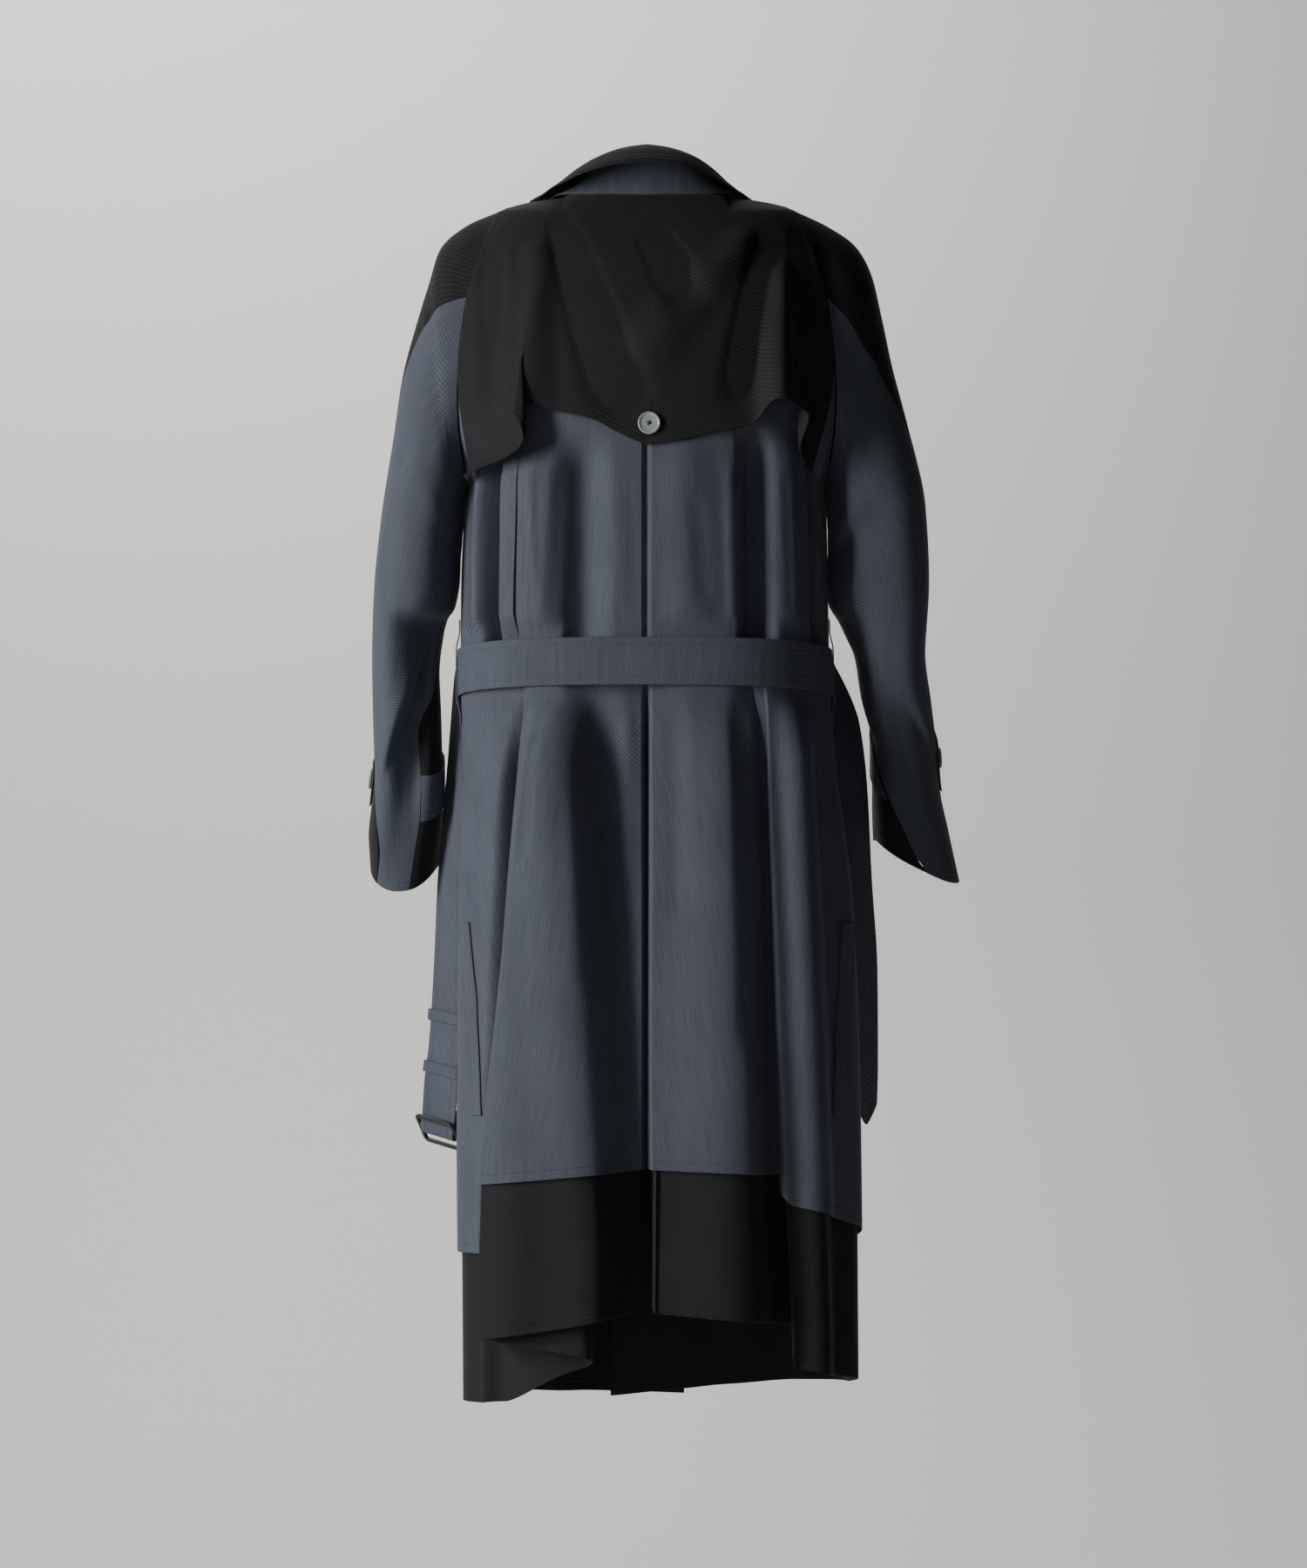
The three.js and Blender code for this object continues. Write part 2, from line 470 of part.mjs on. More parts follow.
/** Where the centre back is drawn in to a narrow groove under the belt. */
const GROOVE = { deep: 13, half: 3, from: -500, full: -560 };
function grooveLift(z, distance) {
  const open = ease((GROOVE.from - z) / (GROOVE.from - GROOVE.full));
  return -GROOVE.deep * open * (1 - ease(distance / (2 * GROOVE.half))) ** 2;
}

/** A back panel at a place along its cloth: how far along the row it lies and how far it is lifted. */
function backPlace(side, level, cloth) {
  const { length } = measuredRow(side, 1, level);
  const z = level < 1 ? alongRow(side, 1, level, length * cloth).z : heightOf(level);
  const pleat = side > 0 ? LEFT_PLEAT : RIGHT_PLEAT;
  const get = (name) => read(pleat, 'z', name, z);
  const edge = Math.min(get('edge'), length * 0.62);
  const depth = get('depth');
  const firstEnd = side > 0 ? edge : edge + depth;
  const lastStart = side > 0 ? edge - depth : edge;
  const upper = get('upper');
  const lower = get('lower');
  const folded = ease((depth + 26) / 34);
  const [first, second, third, fourth] = [0.45, 0.52, 0.62, 0.69];
  const reach = length - SEAM;
  let distance;
  let drop;
  if (cloth <= first) {
    distance = lerp(SEAM, firstEnd, cloth / first);
    drop = side > 0 ? 0 : (upper + lower) * ease((distance - 34) / (edge - 40));
  } else if (cloth >= fourth) {
    distance = lerp(lastStart, reach, (cloth - fourth) / (1 - fourth));
    drop = side > 0 ? (upper + lower) * (1 - ease((distance - edge) / (length - edge))) : 0;
  } else {
    const firstGap = side > 0 ? upper : lower;
    const secondGap = side > 0 ? lower : upper;
    const turnOne = Math.PI * clamp01((cloth - first) / (second - first));
    const turnTwo = Math.PI * clamp01((cloth - third) / (fourth - third));
    const back = clamp01((cloth - second) / (third - second));
    const bulge = (firstGap / 2) * Math.sin(turnOne) - (secondGap / 2) * Math.sin(turnTwo);
    const dropped = (firstGap / 2) * (1 - Math.cos(turnOne)) + (secondGap / 2) * (1 - Math.cos(turnTwo));
    const flat = (cloth - first) / (fourth - first);
    const total = upper + lower;
    distance = lerp(lerp(firstEnd, lastStart, flat), lerp(firstEnd, lastStart, back) + bulge, folded);
    const fallen = lerp(total * ease(flat), dropped, folded);
    drop = side > 0 ? fallen : total - fallen;
  }
  const fadeBefore = 1 - ease((distance - edge + 16) / 16);
  const fadeAfter = ease((distance - edge) / 18);
  const layered = cloth <= first ? fadeBefore : fadeAfter * (cloth >= fourth);
  const soft = softLift(side, 1, z, distance, length) * lerp(1, layered, folded);
  const bed = FLAP_BED * ease((level - 0.01) / 0.05) * ease((0.9 - level) / 0.12);
  return { distance, lift: soft + grooveLift(z, distance) - drop - bed };
}

function frontPlace(side, level, cloth) {
  const { length } = measuredRow(side, -1, level);
  const past = Math.min(OVERLAP, length);
  const distance = lerp(length - SEAM, -past, cloth);
  const z = level < 1 ? alongRow(side, -1, level, Math.abs(distance)).z : heightOf(level);
  const sunk = side > 0 ? LAP.out : -LAP.out - LAP.under * ease((LAP.fromZ - z) / LAP.fade);
  const layer = sunk * ease(1 - (distance - OVERLAP) / 60);
  return { distance, lift: layer + softLift(side, -1, z, distance, length) };
}

/** A point of the body's cloth, with its inset from the slate's outer face measured square to the cloth. */
function bodyPoint(side, facing, level, cloth, inset = 0) {
  const outerPoint = (at) => {
    const place = facing > 0 ? backPlace(side, level, at) : frontPlace(side, level, at);
    return offBody(side, facing, level, place.distance, place.lift);
  };
  if (inset === 0) return outerPoint(cloth);
  const step = 0.004;
  const before = outerPoint(Math.max(0, cloth - step));
  const after = outerPoint(Math.min(1, cloth + step));
  const along = after.sub(before);
  const outward = new THREE.Vector3(-along.y, along.x, 0).normalize().multiplyScalar(side);
  return outerPoint(cloth).addScaledVector(outward, -inset);
}

// ---- Body panels ---------------------------------------------------------------------------------------
const BACK_CLOTH = [
  0, 0.012, 0.028, 0.07, 0.14, 0.21, 0.28, 0.35, 0.41, 0.45,
  0.4675, 0.485, 0.5025, 0.52, 0.57, 0.62, 0.6375, 0.655, 0.6725, 0.69,
  0.75, 0.81, 0.87, 0.94, 1,
];
const FRONT_CLOTH = span(12);
const YOKE_LEVELS = [0.0095, 0.06, 0.16, 0.34, 0.52, 0.76, 1];
const SLATE_HEIGHTS = [-330, -380, -430, -476, -516, -560, -620, -700, -790, -880];
const HEM_ROWS = [1 / 3, 2 / 3, 1];

function slatePanel(side, facing, hem) {
  const cloths = facing > 0 ? BACK_CLOTH : FRONT_CLOTH;
  const levels = [...YOKE_LEVELS, ...SLATE_HEIGHTS.map(levelOf)];
  const upper = levels.map((level) => cloths.map((cloth) => bodyPoint(side, facing, level, cloth)));
  const last = SLATE_HEIGHTS[SLATE_HEIGHTS.length - 1];
  const lower = HEM_ROWS.map((part) => cloths.map((cloth) => {
    const z = lerp(last, readHem(hem, cloth), part);
    return bodyPoint(side, facing, levelOf(z), cloth);
  }));
  return clothWall([...upper, ...lower], SLATE_WALL, { turned: side < 0 });
}

const TWILL_ROWS = [0, 0.08, 0.2, 0.42, 0.6, 0.8, 1];
function twillPanel(side, facing, hem) {
  const cloths = facing > 0 ? BACK_CLOTH : FRONT_CLOTH;
  const grid = TWILL_ROWS.map((part) => cloths.map((cloth) => {
    const z = lerp(TWILL_TOP_Z, readHem(hem, cloth), part);
    const inset = lerp(SLATE_WALL + 0.8, TWILL_INSET, ease(part * 5));
    return bodyPoint(side, facing, levelOf(z), cloth, inset);
  }));
  return clothWall(grid, TWILL_WALL, { turned: side < 0 });
}

// ---- Sleeve panels -------------------------------------------------------------------------------------
const SLEEVE_STEPS = [0.07, 0.6, 1.2, 2, 3, 4, 5, 6, 7, 8, 8.6, 9.2, 10, 11, 12, 13, 14];
const SEAM_ANGLE = 0.22;

function sleevePanel(side, isSlate, columns, wall) {
  const grid = SLEEVE_STEPS.map((step) => span(columns).map((part) => {
    const slateFrom = read(sleeveOf(side), 'step', 'slateFrom', step);
    const slateTo = read(sleeveOf(side), 'step', 'slateTo', step);
    const from = (isSlate ? slateFrom : slateTo) + SEAM_ANGLE;
    const to = (isSlate ? slateTo : slateFrom + 360) - SEAM_ANGLE;
    return sleevePoint(side, step, lerp(from, to, part));
  }));
  return clothWall(grid, wall, { turned: side > 0, even: true });
}

/** The cuff strap: caught in the inner seam, round the front, and buttoned on the outside. */
function cuffStrap(side) {
  const grid = span(2).map((down) => span(12).map((part) => {
    const step = lerp(STRAP.stepFrom, STRAP.stepTo, down);
    const from = read(sleeveOf(side), 'step', 'slateTo', step) + 3;
    return onSleeve(side, step, lerp(from, STRAP.endsAt, part), STRAP.out);
  }));
  return clothWall(grid, SLATE_WALL, { turned: side > 0, even: true });
}

// ---- Storm flap ----------------------------------------------------------------------------------------
/** The level at which the body's surface passes a height, at a distance from the middle back. */
function levelAt(side, z, across) {
  let low = 0;
  let high = 1.4;
  for (let i = 0; i < 24; i += 1) {
    const middle = (low + high) / 2;
    const length = measuredRow(side, 1, middle).length;
    if (alongRow(side, 1, middle, Math.min(across, length)).z > z) low = middle;
    else high = middle;
  }
  return (low + high) / 2;
}

const FLAP_LEVELS = [0.014, 0.06, 0.16, 0.34, 0.52, 0.68];

/** A point of the flap: `down` counts its rows from the neck, the last two below the armhole seam. */
function flapPoint(along, down) {
  const side = along < 0 ? -1 : 1;
  const hemDistance = read(FLAP_HEM, 'along', 'distance', along);
  const hemZ = read(FLAP_HEM, 'along', 'z', along);
  const stand = read(FLAP_HEM, 'along', 'stand', along);
  const hemLevel = levelAt(side, hemZ, Math.abs(hemDistance));
  const last = FLAP_LEVELS[FLAP_LEVELS.length - 1];
  const level = FLAP_LEVELS[down] ?? lerp(last, hemLevel, (down - FLAP_LEVELS.length + 1) / 2);
  const part = clamp01(level / hemLevel);
  const { length } = measuredRow(side, 1, level);
  const straight = Math.abs(along) * (length - 1.4);
  const hung = Math.min(side * hemDistance, length - 2.5);
  const distance = lerp(straight, Math.max(0, hung), ease((part - 0.35) / 0.65));
  return offBody(side, 1, level, distance, lerp(FLAP_REST, stand, part ** 2.6));
}

function stormFlap() {
  const alongs = FLAP_HEM.flatMap((row, i) => {
    const next = FLAP_HEM[i + 1];
    return next ? [row.along, (row.along + next.along) / 2] : [row.along];
  });
  const rows = Array.from({ length: FLAP_LEVELS.length + 2 }, (_, down) => down);
  return clothWall(rows.map((down) => alongs.map((along) => flapPoint(along, down))), TWILL_WALL);
}

// ---- Collar --------------------------------------------------------------------------------------------
/** The neck line round from the middle front (-180) by the right side, the back (0) and the left side. */
function neckPoint(degrees) {
  const angle = degToRad(degrees);
  const x = NECK.half * signedPower(Math.sin(angle), 2 / NECK.roundness);
  const depth = Math.cos(angle) > 0 ? NECK.back : NECK.front;
  const y = depth * signedPower(Math.cos(angle), 2 / NECK.roundness);
  const low = Math.cos(angle) > 0 ? 0 : -NECK.frontDrop;
  return new THREE.Vector3(x, y, lerp(low, NECK.sideRise, (x / NECK.half) ** 2));
}

/** A point of the collar: out from the neck line and up from it. */
function collarPoint(degrees, out, up) {
  const base = neckPoint(degrees);
  const outward = new THREE.Vector3(base.x / NECK.half ** 2, base.y / NECK.back ** 2, 0).normalize();
  return base.addScaledVector(outward, out).add(new THREE.Vector3(0, 0, up));
}

const collarSize = (name, degrees) => read(COLLAR, 'degrees', name, Math.abs(degrees));

function collarStand() {
  const degrees = span(26).map((part) => lerp(-COLLAR_END, COLLAR_END, part));
  const grid = [0, 0.5, 1].map((part) => degrees.map((at) => {
    const foot = lerp(STAND_FOOT.back, STAND_FOOT.front, Math.abs(at) / 180);
    const up = lerp(foot, collarSize('stand', at) - 4, part);
    return collarPoint(at, -COLLAR_LEAN * part - 0.4, up);
  }));
  return clothWall(grid.reverse(), SLATE_WALL);
}

/** The fall: up inside the stand, over its top edge, then out and down to its free edge. */
function collarFall() {
  const section = (at) => {
    const top = collarSize('stand', at);
    const drop = collarSize('drop', at);
    const spread = collarSize('spread', at);
    const lean = -COLLAR_LEAN - 0.4;
    return [
      [lean - 2.2, 2], [lean - 2.4, top * 0.5], [lean - 2.4, top - 6], [lean - 1.2, top - 1.6],
      [lean + 1.6, top], [lean + 6, top - 1.2], [lerp(lean, spread, 0.55), top - drop * 0.36],
      [spread - 3, top - drop * 0.86], [spread, top - drop],
    ];
  };
  const degrees = span(26).map((part) => lerp(-COLLAR_END, COLLAR_END, part));
  const rows = section(0).map((_, i) => degrees.map((at) => collarPoint(at, ...section(at)[i])));
  return clothWall(rows.reverse(), TWILL_WALL);
}

// ---- Belt ----------------------------------------------------------------------------------------------
const BELT_LIFT = 3.4;
const vector = (x, y, z) => new THREE.Vector3(x, y, z);
const tailSection = (side, row) => [
  vector(side * row.farX, row.farY, row.farZ),
  vector(side * row.nearX, row.nearY, row.nearZ),
];

function beltSection(side, distance) {
  const at = (z) => offBody(side, 1, levelOf(z), distance, BELT_LIFT);
  return [at(BELT_TOP_Z), at(BELT_BOTTOM_Z)];
}

/** The strip bent round the buckle's middle bar and laid back behind itself. */
function buckleTurn() {
  const axis = buckleFrame();
  const half = 24;
  const around = (out, down) => [1, -1].map((end) => axis.middle.clone()
    .addScaledVector(axis.width, end * half)
    .addScaledVector(axis.out, out)
    .addScaledVector(axis.down, down));
  const bend = BUCKLE.thick / 2 + 1.2 + BELT_WALL;
  const turn = [0, 45, 90, 135, 180].map((degrees) => {
    const angle = degToRad(degrees);
    return around(bend * Math.cos(angle), bend * Math.sin(angle));
  });
  return [around(bend, -16), ...turn, around(-bend + 1.2, -6), around(-0.2, -20), around(0.1, -28)];
}

function beltGrid() {
  const backLength = (side) => measuredRow(side, 1, levelOf(BELT_TOP_Z)).length;
  const backParts = (side) => [1, 0.93, 0.85, 0.76, 0.66, 0.54, 0.42, 0.3, 0.16].map((part) => (
    beltSection(side, (backLength(side) - 3) * part)));
  const middle = beltSection(1, 0);
  const left = [...LEFT_TAIL].map((row) => tailSection(1, row));
  const right = RIGHT_TAIL.map((row) => tailSection(-1, row));
  const last = RIGHT_TAIL[RIGHT_TAIL.length - 1];
  const tip = [0.45, 0.55].map((part) => vector(
    -lerp(last.nearX, last.farX, part),
    lerp(last.nearY, last.farY, part),
    lerp(last.nearZ, last.farZ, part) - TIP_DROP,
  )).reverse();
  return [
    ...buckleTurn().reverse(), ...left.reverse(), ...backParts(1), middle,
    ...backParts(-1).reverse(), ...right, tip,
  ];
}

function belt() {
  const sections = beltGrid();
  const across = [0, 0.5, 1];
  const grid = across.map((part) => sections.map(([top, bottom]) => top.clone().lerp(bottom, part)));
  return clothWall(grid, BELT_WALL, { turned: true });
}

/** Where the left tail passes a height: its two edges there. */
function tailAt(z) {
  const rows = LEFT_TAIL.map((row) => ({ ...row, z: (row.nearZ + row.farZ) / 2 }));
  const get = (name) => read(rows, 'z', name, z);
  return {
    near: vector(get('nearX'), get('nearY'), get('nearZ')),
    far: vector(get('farX'), get('farY'), get('farZ')),
  };
}

/** A keeper: a flat band right round the belt's tail. */
function keeper({ z, height }) {
  const ring = (level) => {
    const { near, far } = tailAt(level);
    const width = far.clone().sub(near).normalize();
    const out = vector(-width.y, width.x, 0).normalize();
    const middle = near.clone().add(far).multiplyScalar(0.5).addScaledVector(out, -BELT_WALL / 2);
    const half = near.distanceTo(far) / 2 + KEEPER_WALL + 0.4;
    const thick = BELT_WALL / 2 + KEEPER_WALL + KEEPER_ROOM;
    const corners = [
      [1, 0.5], [0.94, 1], [-0.94, 1], [-1, 0.5], [-1, -0.5], [-0.94, -1], [0.94, -1], [1, -0.5],
    ];
    return corners.map(([w, o]) => middle.clone()
      .addScaledVector(width, w * half)
      .addScaledVector(out, o * thick));
  };
  return clothWall([ring(z + height / 2), ring(z - height / 2)], KEEPER_WALL, { closed: true });
}

/** A belt loop standing over the belt, sewn down above and below it. */
function beltLoop(side) {
  const profile = [
    [LOOP.topZ, 1], [LOOP.topZ - 12, 1], [BELT_TOP_Z + 9, 0.35], [BELT_TOP_Z + 3, 0],
    [BELT_BOTTOM_Z - 3, 0], [BELT_BOTTOM_Z - 9, 0.35], [BELT_BOTTOM_Z - 20, 1], [BELT_BOTTOM_Z - 30, 1],
  ];
  const low = RESTING + SLATE_WALL;
  const high = BELT_LIFT + RESTING + SLATE_WALL;
  const grid = profile.map(([z, down]) => [0, 1].map((part) => {
    const level = levelOf(z);
    const edge = measuredRow(side, 1, level).length - LOOP.beforeSeam;
    return offBody(side, 1, level, edge - LOOP.width * (1 - part), lerp(high, low, down));
  }));
  return clothWall(grid, SLATE_WALL, { turned: side < 0 });
}

// ---- Buckle --------------------------------------------------------------------------------------------
/** The middle of the buckle's centre bar and the belt's directions there. */
function buckleFrame() {
  const near = vector(BUCKLE_AXIS.nearX, BUCKLE_AXIS.nearY, BUCKLE_AXIS.nearZ);
  const far = vector(BUCKLE_AXIS.farX, BUCKLE_AXIS.farY, BUCKLE_AXIS.farZ);
  const width = far.clone().sub(near).normalize();
  const out = vector(-width.y, width.x, 0).normalize();
  const down = out.clone().cross(width).normalize();
  if (down.z > 0) down.negate();
  return { middle: near.add(far).multiplyScalar(0.5), width, out, down };
}

function roundedRectangle(shape, halfWidth, bottom, top, corner) {
  shape.moveTo(-halfWidth + corner, bottom);
  shape.lineTo(halfWidth - corner, bottom);
  shape.quadraticCurveTo(halfWidth, bottom, halfWidth, bottom + corner);
  shape.lineTo(halfWidth, top - corner);
  shape.quadraticCurveTo(halfWidth, top, halfWidth - corner, top);
  shape.lineTo(-halfWidth + corner, top);
  shape.quadraticCurveTo(-halfWidth, top, -halfWidth, top - corner);
  shape.lineTo(-halfWidth, bottom + corner);
  shape.quadraticCurveTo(-halfWidth, bottom, -halfWidth + corner, bottom);
  return shape;
}

/** A flat frame with a window on each side of its centre bar, its edges rounded over. */
function buckleGeometry() {
  const { width, height, bar, thick, bevel } = BUCKLE;
  const half = width / 2 - bevel;
  const outline = roundedRectangle(new THREE.Shape(), half, -height / 2 + bevel, height / 2 - bevel, 5);
  const innerHalf = width / 2 - bar + bevel;
  const barHalf = bar / 2 - bevel;
  const windowTop = height / 2 - bar + bevel;
  outline.holes.push(roundedRectangle(new THREE.Path(), innerHalf, barHalf, windowTop, 1.5));
  outline.holes.push(roundedRectangle(new THREE.Path(), innerHalf, -windowTop, -barHalf, 1.5));
  const geometry = new THREE.ExtrudeGeometry(outline, {
    depth: thick - 2 * bevel, bevelEnabled: true, bevelThickness: bevel, bevelSize: bevel, bevelSegments: 2,
    curveSegments: 3,
  });
  return geometry.translate(0, 0, -(thick - 2 * bevel) / 2);
}

// ---- Buttons -------------------------------------------------------------------------------------------
function buttonGeometry() {
  const { radius, rim, thick, dish } = BUTTON;
  const profile = [
    [0, 0], [radius - 0.8, 0], [radius, 0.8], [radius, thick - 0.6], [radius - rim, thick],
    [radius - 2.6, thick - dish], [0, thick - dish],
  ].map(([r, h]) => new THREE.Vector2(r, h));
  return new THREE.LatheGeometry(profile, 14).rotateX(Math.PI / 2);
}

/** Lays a button, whose flat back is its origin, on a place that faces a given way. */
function placeButton(mesh, place, facing) {
  mesh.position.copy(place);
  mesh.quaternion.setFromUnitVectors(vector(0, 0, 1), facing.clone().normalize());
  return mesh;
}

// ---- Pocket welts --------------------------------------------------------------------------------------
function pocketWelt(side) {
  const grid = span(6).map((down) => [0, 1].map((part) => {
    const z = lerp(WELT.topZ, WELT.bottomZ, down);
    const level = levelOf(z);
    const { length } = measuredRow(side, 1, level);
    const fromSeam = lerp(WELT.topFromSeam, WELT.bottomFromSeam, down) - WELT.width * part;
    const distance = length - fromSeam;
    const edge = read(side > 0 ? LEFT_PLEAT : RIGHT_PLEAT, 'z', 'edge', z);
    const gap = read(LEFT_PLEAT, 'z', 'upper', z) + read(LEFT_PLEAT, 'z', 'lower', z);
    const drop = side > 0 ? gap * (1 - ease((distance - edge) / (length - edge))) : 0;
    const lift = softLift(side, 1, z, distance, length) * ease((distance - edge) / 18) - drop;
    return offBody(side, 1, level, distance, lift + RESTING + SLATE_WALL + 1.1);
  }));
  return clothWall(grid, SLATE_WALL, { turned: side < 0 });
}

// ---- The coat ------------------------------------------------------------------------------------------
const slate = { color: 0x565b66, roughness: 0.9, metalness: 0 };
const twill = { color: 0x1e1e20, roughness: 0.95, metalness: 0 };
const horn = { color: 0x8d9794, roughness: 0.35, metalness: 0 };
const gunmetal = { color: 0x4a4a4c, roughness: 0.35, metalness: 0.9 };

const coat = new THREE.Group();
function add(name, geometry, finish) {
  const mesh = new THREE.Mesh(geometry, new THREE.MeshStandardMaterial(finish));
  mesh.name = name;
  coat.add(mesh);
  return mesh;
}

add('back_left', slatePanel(1, 1, HEMS.slateBackLeft), slate);
add('back_right', slatePanel(-1, 1, HEMS.slateBackRight), slate);
add('front_left', slatePanel(1, -1, HEMS.slateFrontLeft), slate);
add('front_right', slatePanel(-1, -1, HEMS.slateFrontRight), slate);
add('under_back_left', twillPanel(1, 1, HEMS.twillBackLeft), twill);
add('under_back_right', twillPanel(-1, 1, HEMS.twillBackRight), twill);
add('under_front_left', twillPanel(1, -1, HEMS.twillFrontLeft), twill);
add('under_front_right', twillPanel(-1, -1, HEMS.twillFrontRight), twill);
add('sleeve_left_back', sleevePanel(1, true, 9, SLATE_WALL), slate);
add('sleeve_left_top', sleevePanel(1, false, 13, TWILL_WALL), twill);
add('sleeve_right_back', sleevePanel(-1, true, 9, SLATE_WALL), slate);
add('sleeve_right_top', sleevePanel(-1, false, 13, TWILL_WALL), twill);
add('storm_flap', stormFlap(), twill);
add('collar_stand', collarStand(), slate);
add('collar_fall', collarFall(), twill);
add('belt', belt(), slate);
KEEPERS.forEach((row, i) => add(`belt_keeper_${i + 1}`, keeper(row), slate));
add('belt_loop_left', beltLoop(1), slate);
add('belt_loop_right', beltLoop(-1), slate);
add('cuff_strap_left', cuffStrap(1), slate);
add('cuff_strap_right', cuffStrap(-1), slate);
add('pocket_welt_left', pocketWelt(1), slate);
add('pocket_welt_right', pocketWelt(-1), slate);

const frame = buckleFrame();
const buckle = add('belt_buckle', buckleGeometry(), gunmetal);
const upright = frame.down.clone().negate();
const rightHanded = frame.width.clone().cross(upright).dot(frame.out) > 0;
const barRun = frame.width.clone().multiplyScalar(rightHanded ? 1 : -1);
const standing = new THREE.Matrix4().makeBasis(barRun, upright, frame.out);
const leaning = new THREE.Quaternion().setFromAxisAngle(vector(1, 0, 0), degToRad(BUCKLE.lean));
buckle.quaternion.setFromRotationMatrix(standing).multiply(leaning);
buckle.position.copy(frame.middle);

const flapLevel = levelAt(1, FLAP_BUTTON.z, Math.abs(FLAP_BUTTON.across));
const flapDown = clamp01(flapLevel / levelAt(1, FLAP_HEM[8].z, 0));
const flapLift = lerp(FLAP_REST, FLAP_HEM[8].stand, flapDown ** 2.6);
const flapFace = offBody(-1, 1, flapLevel, -FLAP_BUTTON.across, flapLift + 2 * RESTING);
placeButton(add('flap_button', buttonGeometry(), horn), flapFace, vector(0, 1, 0));
FRONT_BUTTONS.forEach((z, i) => {
  const level = z > UNDERARM_Z ? (z + 70) / (UNDERARM_Z + 70) : levelOf(z);
  const face = offBody(1, -1, level, 0, LAP.out + RESTING + 0.5);
  const facing = offBody(1, -1, level, 0, 9).sub(face);
  placeButton(add(`front_button_${i + 1}`, buttonGeometry(), horn), face, facing);
});
for (const side of [1, -1]) {
  const step = (STRAP.stepFrom + STRAP.stepTo) / 2;
  const out = STRAP.out + RESTING + 0.4;
  const face = onSleeve(side, step, STRAP.buttonAt, out);
  const facing = onSleeve(side, step, STRAP.buttonAt, out + 9).sub(face);
  placeButton(add(`cuff_button_${side > 0 ? 'left' : 'right'}`, buttonGeometry(), horn), face, facing);
}

export default coat;
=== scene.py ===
# %% [markdown]
# # A long belted coat in two cloths, standing empty
#
# The coat keeps the shape it has when it is worn, with nobody in it. It is cut from a slate wool and a
# heavy black twill: the twill makes the storm flap over the shoulders, the tops of the sleeves, the
# turned-down collar and an under layer that shows below the slate hem.
#
# Every piece of cloth is built here in the same way. A function says where each point of the cut cloth
# lies, a grid of such points makes the outer face, and a second grid one wall further in closes it. That
# is how a garment is thought of by the person who cuts it: a flat piece with an across and a down
# direction, laid over a form. The weave then follows the cloth for free, because every point also knows
# its place on the flat piece.
#
# All sizes are in millimetres until a mesh is made. +Z is up, +Y is out of the back, +X is the wearer's
# left, and the origin is the middle of the neck at the height of the nape.

import json
import math

import bpy
import numpy as np
from mathutils import Matrix, Vector

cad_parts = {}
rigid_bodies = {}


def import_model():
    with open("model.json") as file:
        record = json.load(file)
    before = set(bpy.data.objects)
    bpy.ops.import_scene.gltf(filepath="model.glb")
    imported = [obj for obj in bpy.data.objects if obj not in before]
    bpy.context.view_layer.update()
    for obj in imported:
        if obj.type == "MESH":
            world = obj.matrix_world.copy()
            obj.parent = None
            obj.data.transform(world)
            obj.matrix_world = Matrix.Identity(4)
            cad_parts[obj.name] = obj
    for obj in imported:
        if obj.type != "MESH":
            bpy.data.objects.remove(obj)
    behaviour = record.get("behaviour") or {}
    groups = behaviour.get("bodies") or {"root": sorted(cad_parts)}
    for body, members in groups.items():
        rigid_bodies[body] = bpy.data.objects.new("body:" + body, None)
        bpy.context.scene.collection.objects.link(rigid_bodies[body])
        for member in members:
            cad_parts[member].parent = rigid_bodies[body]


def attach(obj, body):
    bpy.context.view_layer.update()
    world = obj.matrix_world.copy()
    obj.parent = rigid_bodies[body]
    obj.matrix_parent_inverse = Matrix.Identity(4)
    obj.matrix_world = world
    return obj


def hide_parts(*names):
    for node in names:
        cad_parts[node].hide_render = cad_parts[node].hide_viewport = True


MM = 0.001
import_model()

def note_size():
    """Brings the scene up to date."""
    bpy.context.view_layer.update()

note_size()

# %% [markdown]
# ## Sizes of the coat
#
# The tables below are the whole coat in numbers. Each has named columns, and `read` gives a value between
# its rows. It passes smoothly through every row and never swings past one, which matters for cloth: an
# overshoot would show as a fold that nobody sewed.

# %% Tables and how they are read
def table(columns, rows):
    """Rows of numbers under named columns, kept as one array for each column."""
    return {name: np.array([row[i] for row in rows], float) for i, name in enumerate(columns.split())}

def read(rows, key, name, at):
    """One column at places between the rows, by a curve that never passes beyond its neighbours."""
    order = np.argsort(rows[key])
    xs = rows[key][order]
    ys = rows[name][order]
    at = np.clip(np.asarray(at, float), xs[0], xs[-1])
    slopes = np.diff(ys) / np.diff(xs)
    product = slopes[:-1] * slopes[1:]
    total = slopes[:-1] + slopes[1:]
    inner = np.where(product > 0, 2 * product / np.where(total == 0, 1, total), 0)
    tangents = np.concatenate([slopes[:1], inner, slopes[-1:]])
    i = np.clip(np.searchsorted(xs, at, side="right") - 1, 0, len(xs) - 2)
    step = xs[i + 1] - xs[i]
    t = (at - xs[i]) / step
    before = (2 * t**3 - 3 * t**2 + 1) * ys[i]
    after = (3 * t**2 - 2 * t**3) * ys[i + 1]
    bends = (t**3 - 2 * t**2 + t) * tangents[i] + (t**3 - t**2) * tangents[i + 1]
    return before + after + step * bends

def lerp(a, b, t):
    return a + (b - a) * t

def ease(value):
    t = np.clip(value, 0, 1)
    return t * t * (3 - 2 * t)

